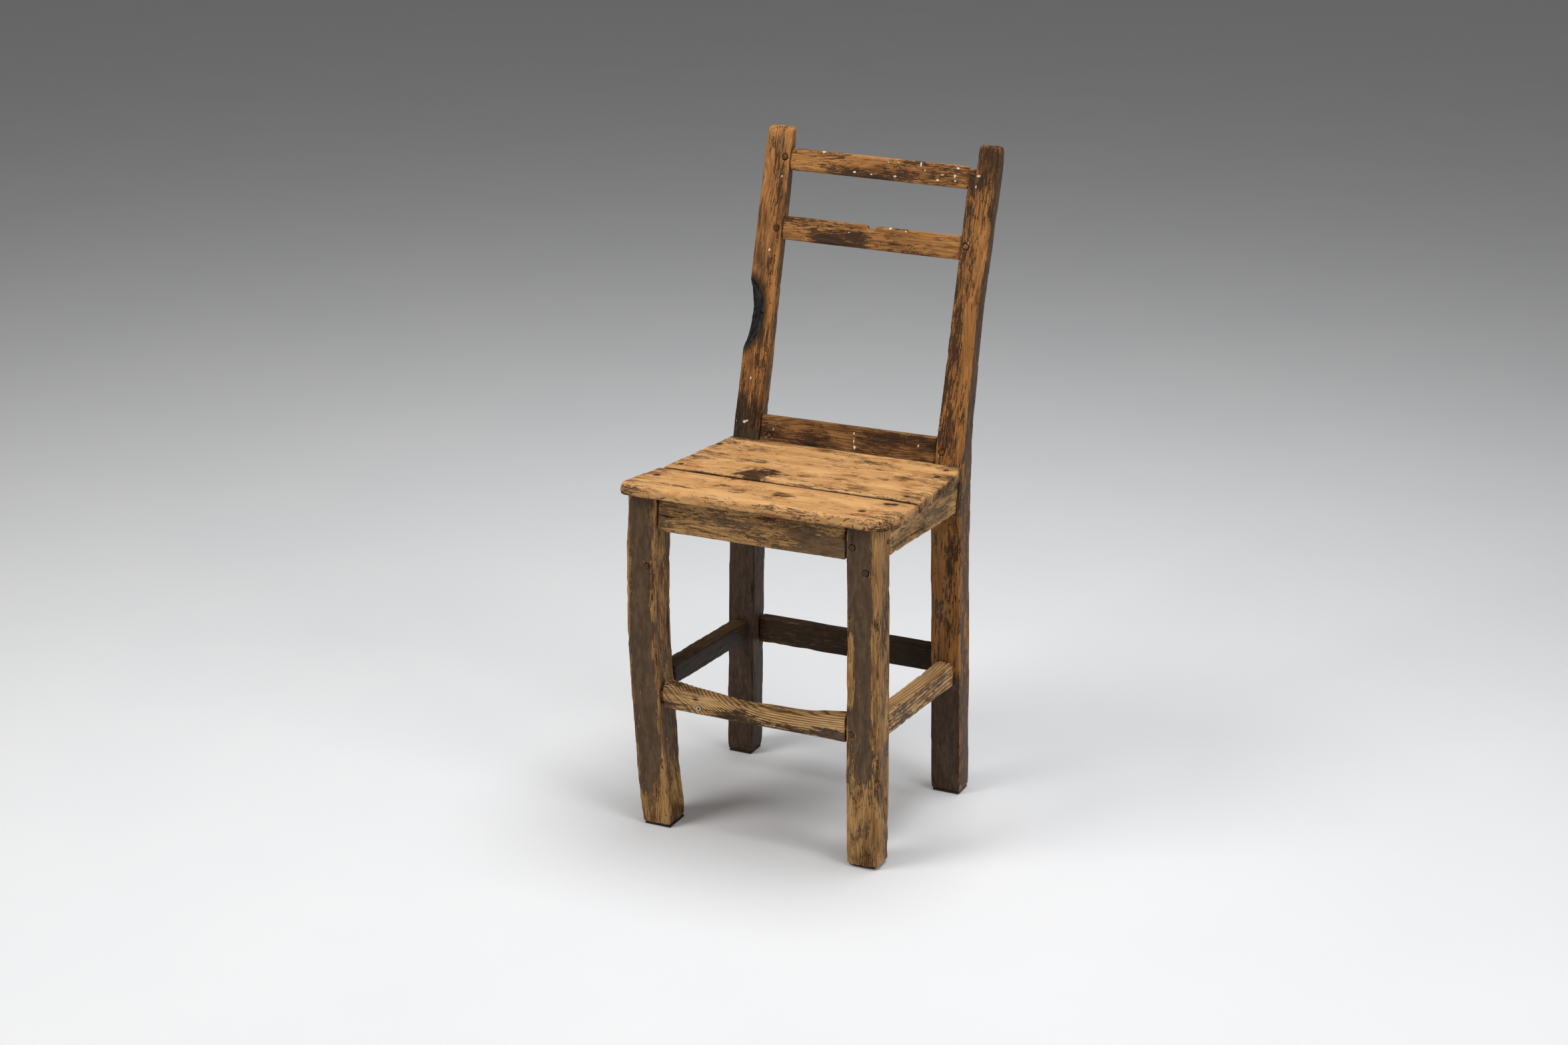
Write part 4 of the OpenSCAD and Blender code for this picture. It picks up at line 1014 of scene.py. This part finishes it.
def seat_stains(p, ends, under):
    """Grime at the ends and edges, spills, and rust round the nails."""
    x, y, z = p.co.T
    stain_and_shade = 0.14 * ends + 0.04
    ragged = 0.3 * noise(p.co / 11.0, 6) + 0.25 * noise(p.co / 4.0, 7)
    for middle, half, amount in SPILLS:
        away = np.hypot((x - middle[0]) / half[0], (y - middle[1]) / half[1])
        stain_and_shade += amount * smooth(away + ragged, 1.05, 0.35)
    for nail_x, nail_y in SEAT_NAILS:
        stain_and_shade += 0.9 * smooth(np.hypot(x - nail_x, y - nail_y), 7.0, 2.5)
    return stain_and_shade + 0.3 * smooth(y, 236, 262) + 0.3 * under + 0.1 * hill(y, JOINT_Y, 6)


def seat_board(node, seed, heart_y):
    p = Piece(node, 1.8)
    x, y, z = p.co.T
    front = node == "seat_front_board"
    edge = smooth(y, 0, -12) + smooth(np.abs(x - SEAT_MIDDLE_X), 160, 178)
    p.wear(10, 0.35 + 0.3 * noise(p.co / 30.0, seed) + 0.4 * np.clip(edge, 0, 1))
    if front:
        p.refine(lambda co: co[:, 1] < -8)
    weather(p, seed + 10, 0)
    p.nicks(40, seed + 60, (1.5, 5), (0.2, 0.9), p.arrises(), 0, 2.0)
    p.nicks(60, seed + 61, (1.2, 3.5), (0.1, 0.5), None, 0, 3.0)
    if front:
        chew_front_edge(p, seed)
    else:
        scratch_back_board(p)
    open_joint(p, front)
    p.find_normals()
    x, y, z = p.co.T
    ends = smooth(np.abs(x - SEAT_MIDDLE_X), 110, 178)
    under = (1 - upward(p, 0.5, 0.9)) * smooth(z, 460, 453)
    grit = 0.24 * ends + 0.22 * smooth(y, 215, 262) + 0.25 * under + 0.1 * hill(y, JOINT_Y, 14)
    p.looks["speck"] = 0.25 + grit
    p.looks["stain_and_shade"] = seat_stains(p, ends, under)
    p.looks["fleck"] = 0.02
    # A pale band along the top of the front rim: real wear, and a painted highlight along the rounded edge
    p.at_least("wear", 0.9 * smooth(y, -6, -13) * smooth(z, 455, 459))
    p.finish(SEAT_WOOD, across_grain(p, heart_y, 380))


def small_piece(node, voxel, material, times=4, strength=0.6, waves=0.05):
    """Pegs, nails, screw and pads, with worn edges."""
    p = Piece(node, voxel)
    p.wear(times, strength)
    # The pads stay flat where they stand
    keep = smooth(p.co[:, 2], 0.4, 1.2) if node == "foot_pads" else 1.0
    p.push(keep * waves * (1 + rough(p.co / 1.6, 2, 3)))
    p.find_normals()
    x, y, z = p.co.T
    if node == "stretcher_screw":
        # Dirt in the cross
        p.looks["stain_and_shade"] = smooth(y, 1.35, 2.1) * smooth(np.hypot(x - SCREW_X, z - SCREW_Z), 3.6, 3.0)
    else:
        p.looks["stain_and_shade"] = 0.25
        p.looks["speck"] = 0.3
    if node == "front_leg_pegs":
        p.looks["paint"] = 0.75
    p.finish(material, (y, x, z))


front_left_leg()
front_right_leg()
back_left_post()
back_right_post()
front_apron()
side_apron("left_apron", 41, -190)
side_apron("right_apron", 42, 110)
lower_back_rail()
back_slat("middle_back_slat", 43, (95, 690), MIDDLE_SLAT_UP, MIDDLE_SLAT_FLECKS)
back_slat("top_back_slat", 44, (110, 850), TOP_SLAT_UP, TOP_SLAT_FLECKS)
front_stretcher()
side_stretcher("left_stretcher", 45, -190, DARK_WOOD)
side_stretcher("right_stretcher", 46, 120, STEP_WOOD)
rear_stretcher()
seat_board("seat_back_board", 47, 300)
seat_board("seat_front_board", 48, -60)
for pegs in ("back_pegs", "front_leg_pegs", "side_pegs"):
    small_piece(pegs, 0.7, PEG_WOOD, times=2, waves=0.32)
small_piece("seat_nails", 0.6, old_iron(), times=3)
small_piece("bent_nail", 0.3, old_iron(), times=6)
small_piece("foot_nail", 0.35, old_iron())
small_piece("stretcher_screw", 0.25, zinc(), times=3, strength=0.5, waves=0.02)
small_piece("foot_pads", 1.3, black_pad())


# ---- Floor, light and camera -----------------------------------------------------------------


# The lamps all point at the middle of the chair
LAMPS_AIM = Vector((0, 0, 0.4))
# The camera's place in the chair's millimetres, its turn, tilt and roll in degrees, and its lens
CAMERA_PLACE = np.array([1306.2, -2619.8, 1436.8])
CAMERA_TURN, CAMERA_DOWN, CAMERA_ROLL = 25.687, 18.904, -0.219
CAMERA_LENS = 58.51


def make_floor():
    bm = bmesh.new()
    bmesh.ops.create_grid(bm, x_segments=8, y_segments=8, size=20.0)
    mesh = bpy.data.meshes.new("floor")
    bm.to_mesh(mesh)
    bm.free()
    floor = bpy.data.objects.new("floor", mesh)
    floor.data.materials.append(studio_floor())
    bpy.context.scene.collection.objects.link(floor)


def softbox(name, place, size, power, tint=(1.0, 1.0, 1.0)):
    light = bpy.data.lights.new(name, "AREA")
    light.shape = "DISK"
    light.size = size
    light.energy = power
    light.color = tint
    obj = bpy.data.objects.new(name, light)
    obj.location = place
    obj.rotation_euler = (LAMPS_AIM - Vector(place)).to_track_quat("-Z", "Y").to_euler()
    bpy.context.scene.collection.objects.link(obj)


def make_camera():
    """Stands to the right of the front, looking down a little."""
    turn, down, roll = (math.radians(v) for v in (CAMERA_TURN, CAMERA_DOWN, CAMERA_ROLL))
    forward = Vector((-math.sin(turn) * math.cos(down), math.cos(turn) * math.cos(down), -math.sin(down)))
    level = Vector((math.cos(turn), math.sin(turn), 0.0))
    rise = level.cross(forward)
    right = level * math.cos(roll) + rise * math.sin(roll)
    up = rise * math.cos(roll) - level * math.sin(roll)
    camera = bpy.data.cameras.new("camera")
    camera.sensor_width = 36.0
    camera.lens = CAMERA_LENS
    camera.clip_end = 60.0
    obj = bpy.data.objects.new("camera", camera)
    turned = Matrix((right, up, -forward)).transposed().to_4x4()
    obj.matrix_world = Matrix.Translation(Vector(ORIGIN + CAMERA_PLACE * MM)) @ turned
    bpy.context.scene.collection.objects.link(obj)
    bpy.context.scene.camera = obj


make_floor()
softbox("key", (-1.6, -1.9, 2.4), 1.4, 49, (1.0, 0.98, 0.95))
softbox("top", (0.3, 0.1, 2.6), 1.5, 46)
softbox("fill", (2.8, -1.0, 1.5), 1.6, 34)
world = bpy.data.worlds.new("studio")
world.use_nodes = True
background = world.node_tree.nodes["Background"]
background.inputs["Color"].default_value = (1.0, 0.99, 0.97, 1.0)
background.inputs["Strength"].default_value = 0.15
bpy.context.scene.world = world
bpy.context.scene.view_settings.view_transform = "Standard"
make_camera()
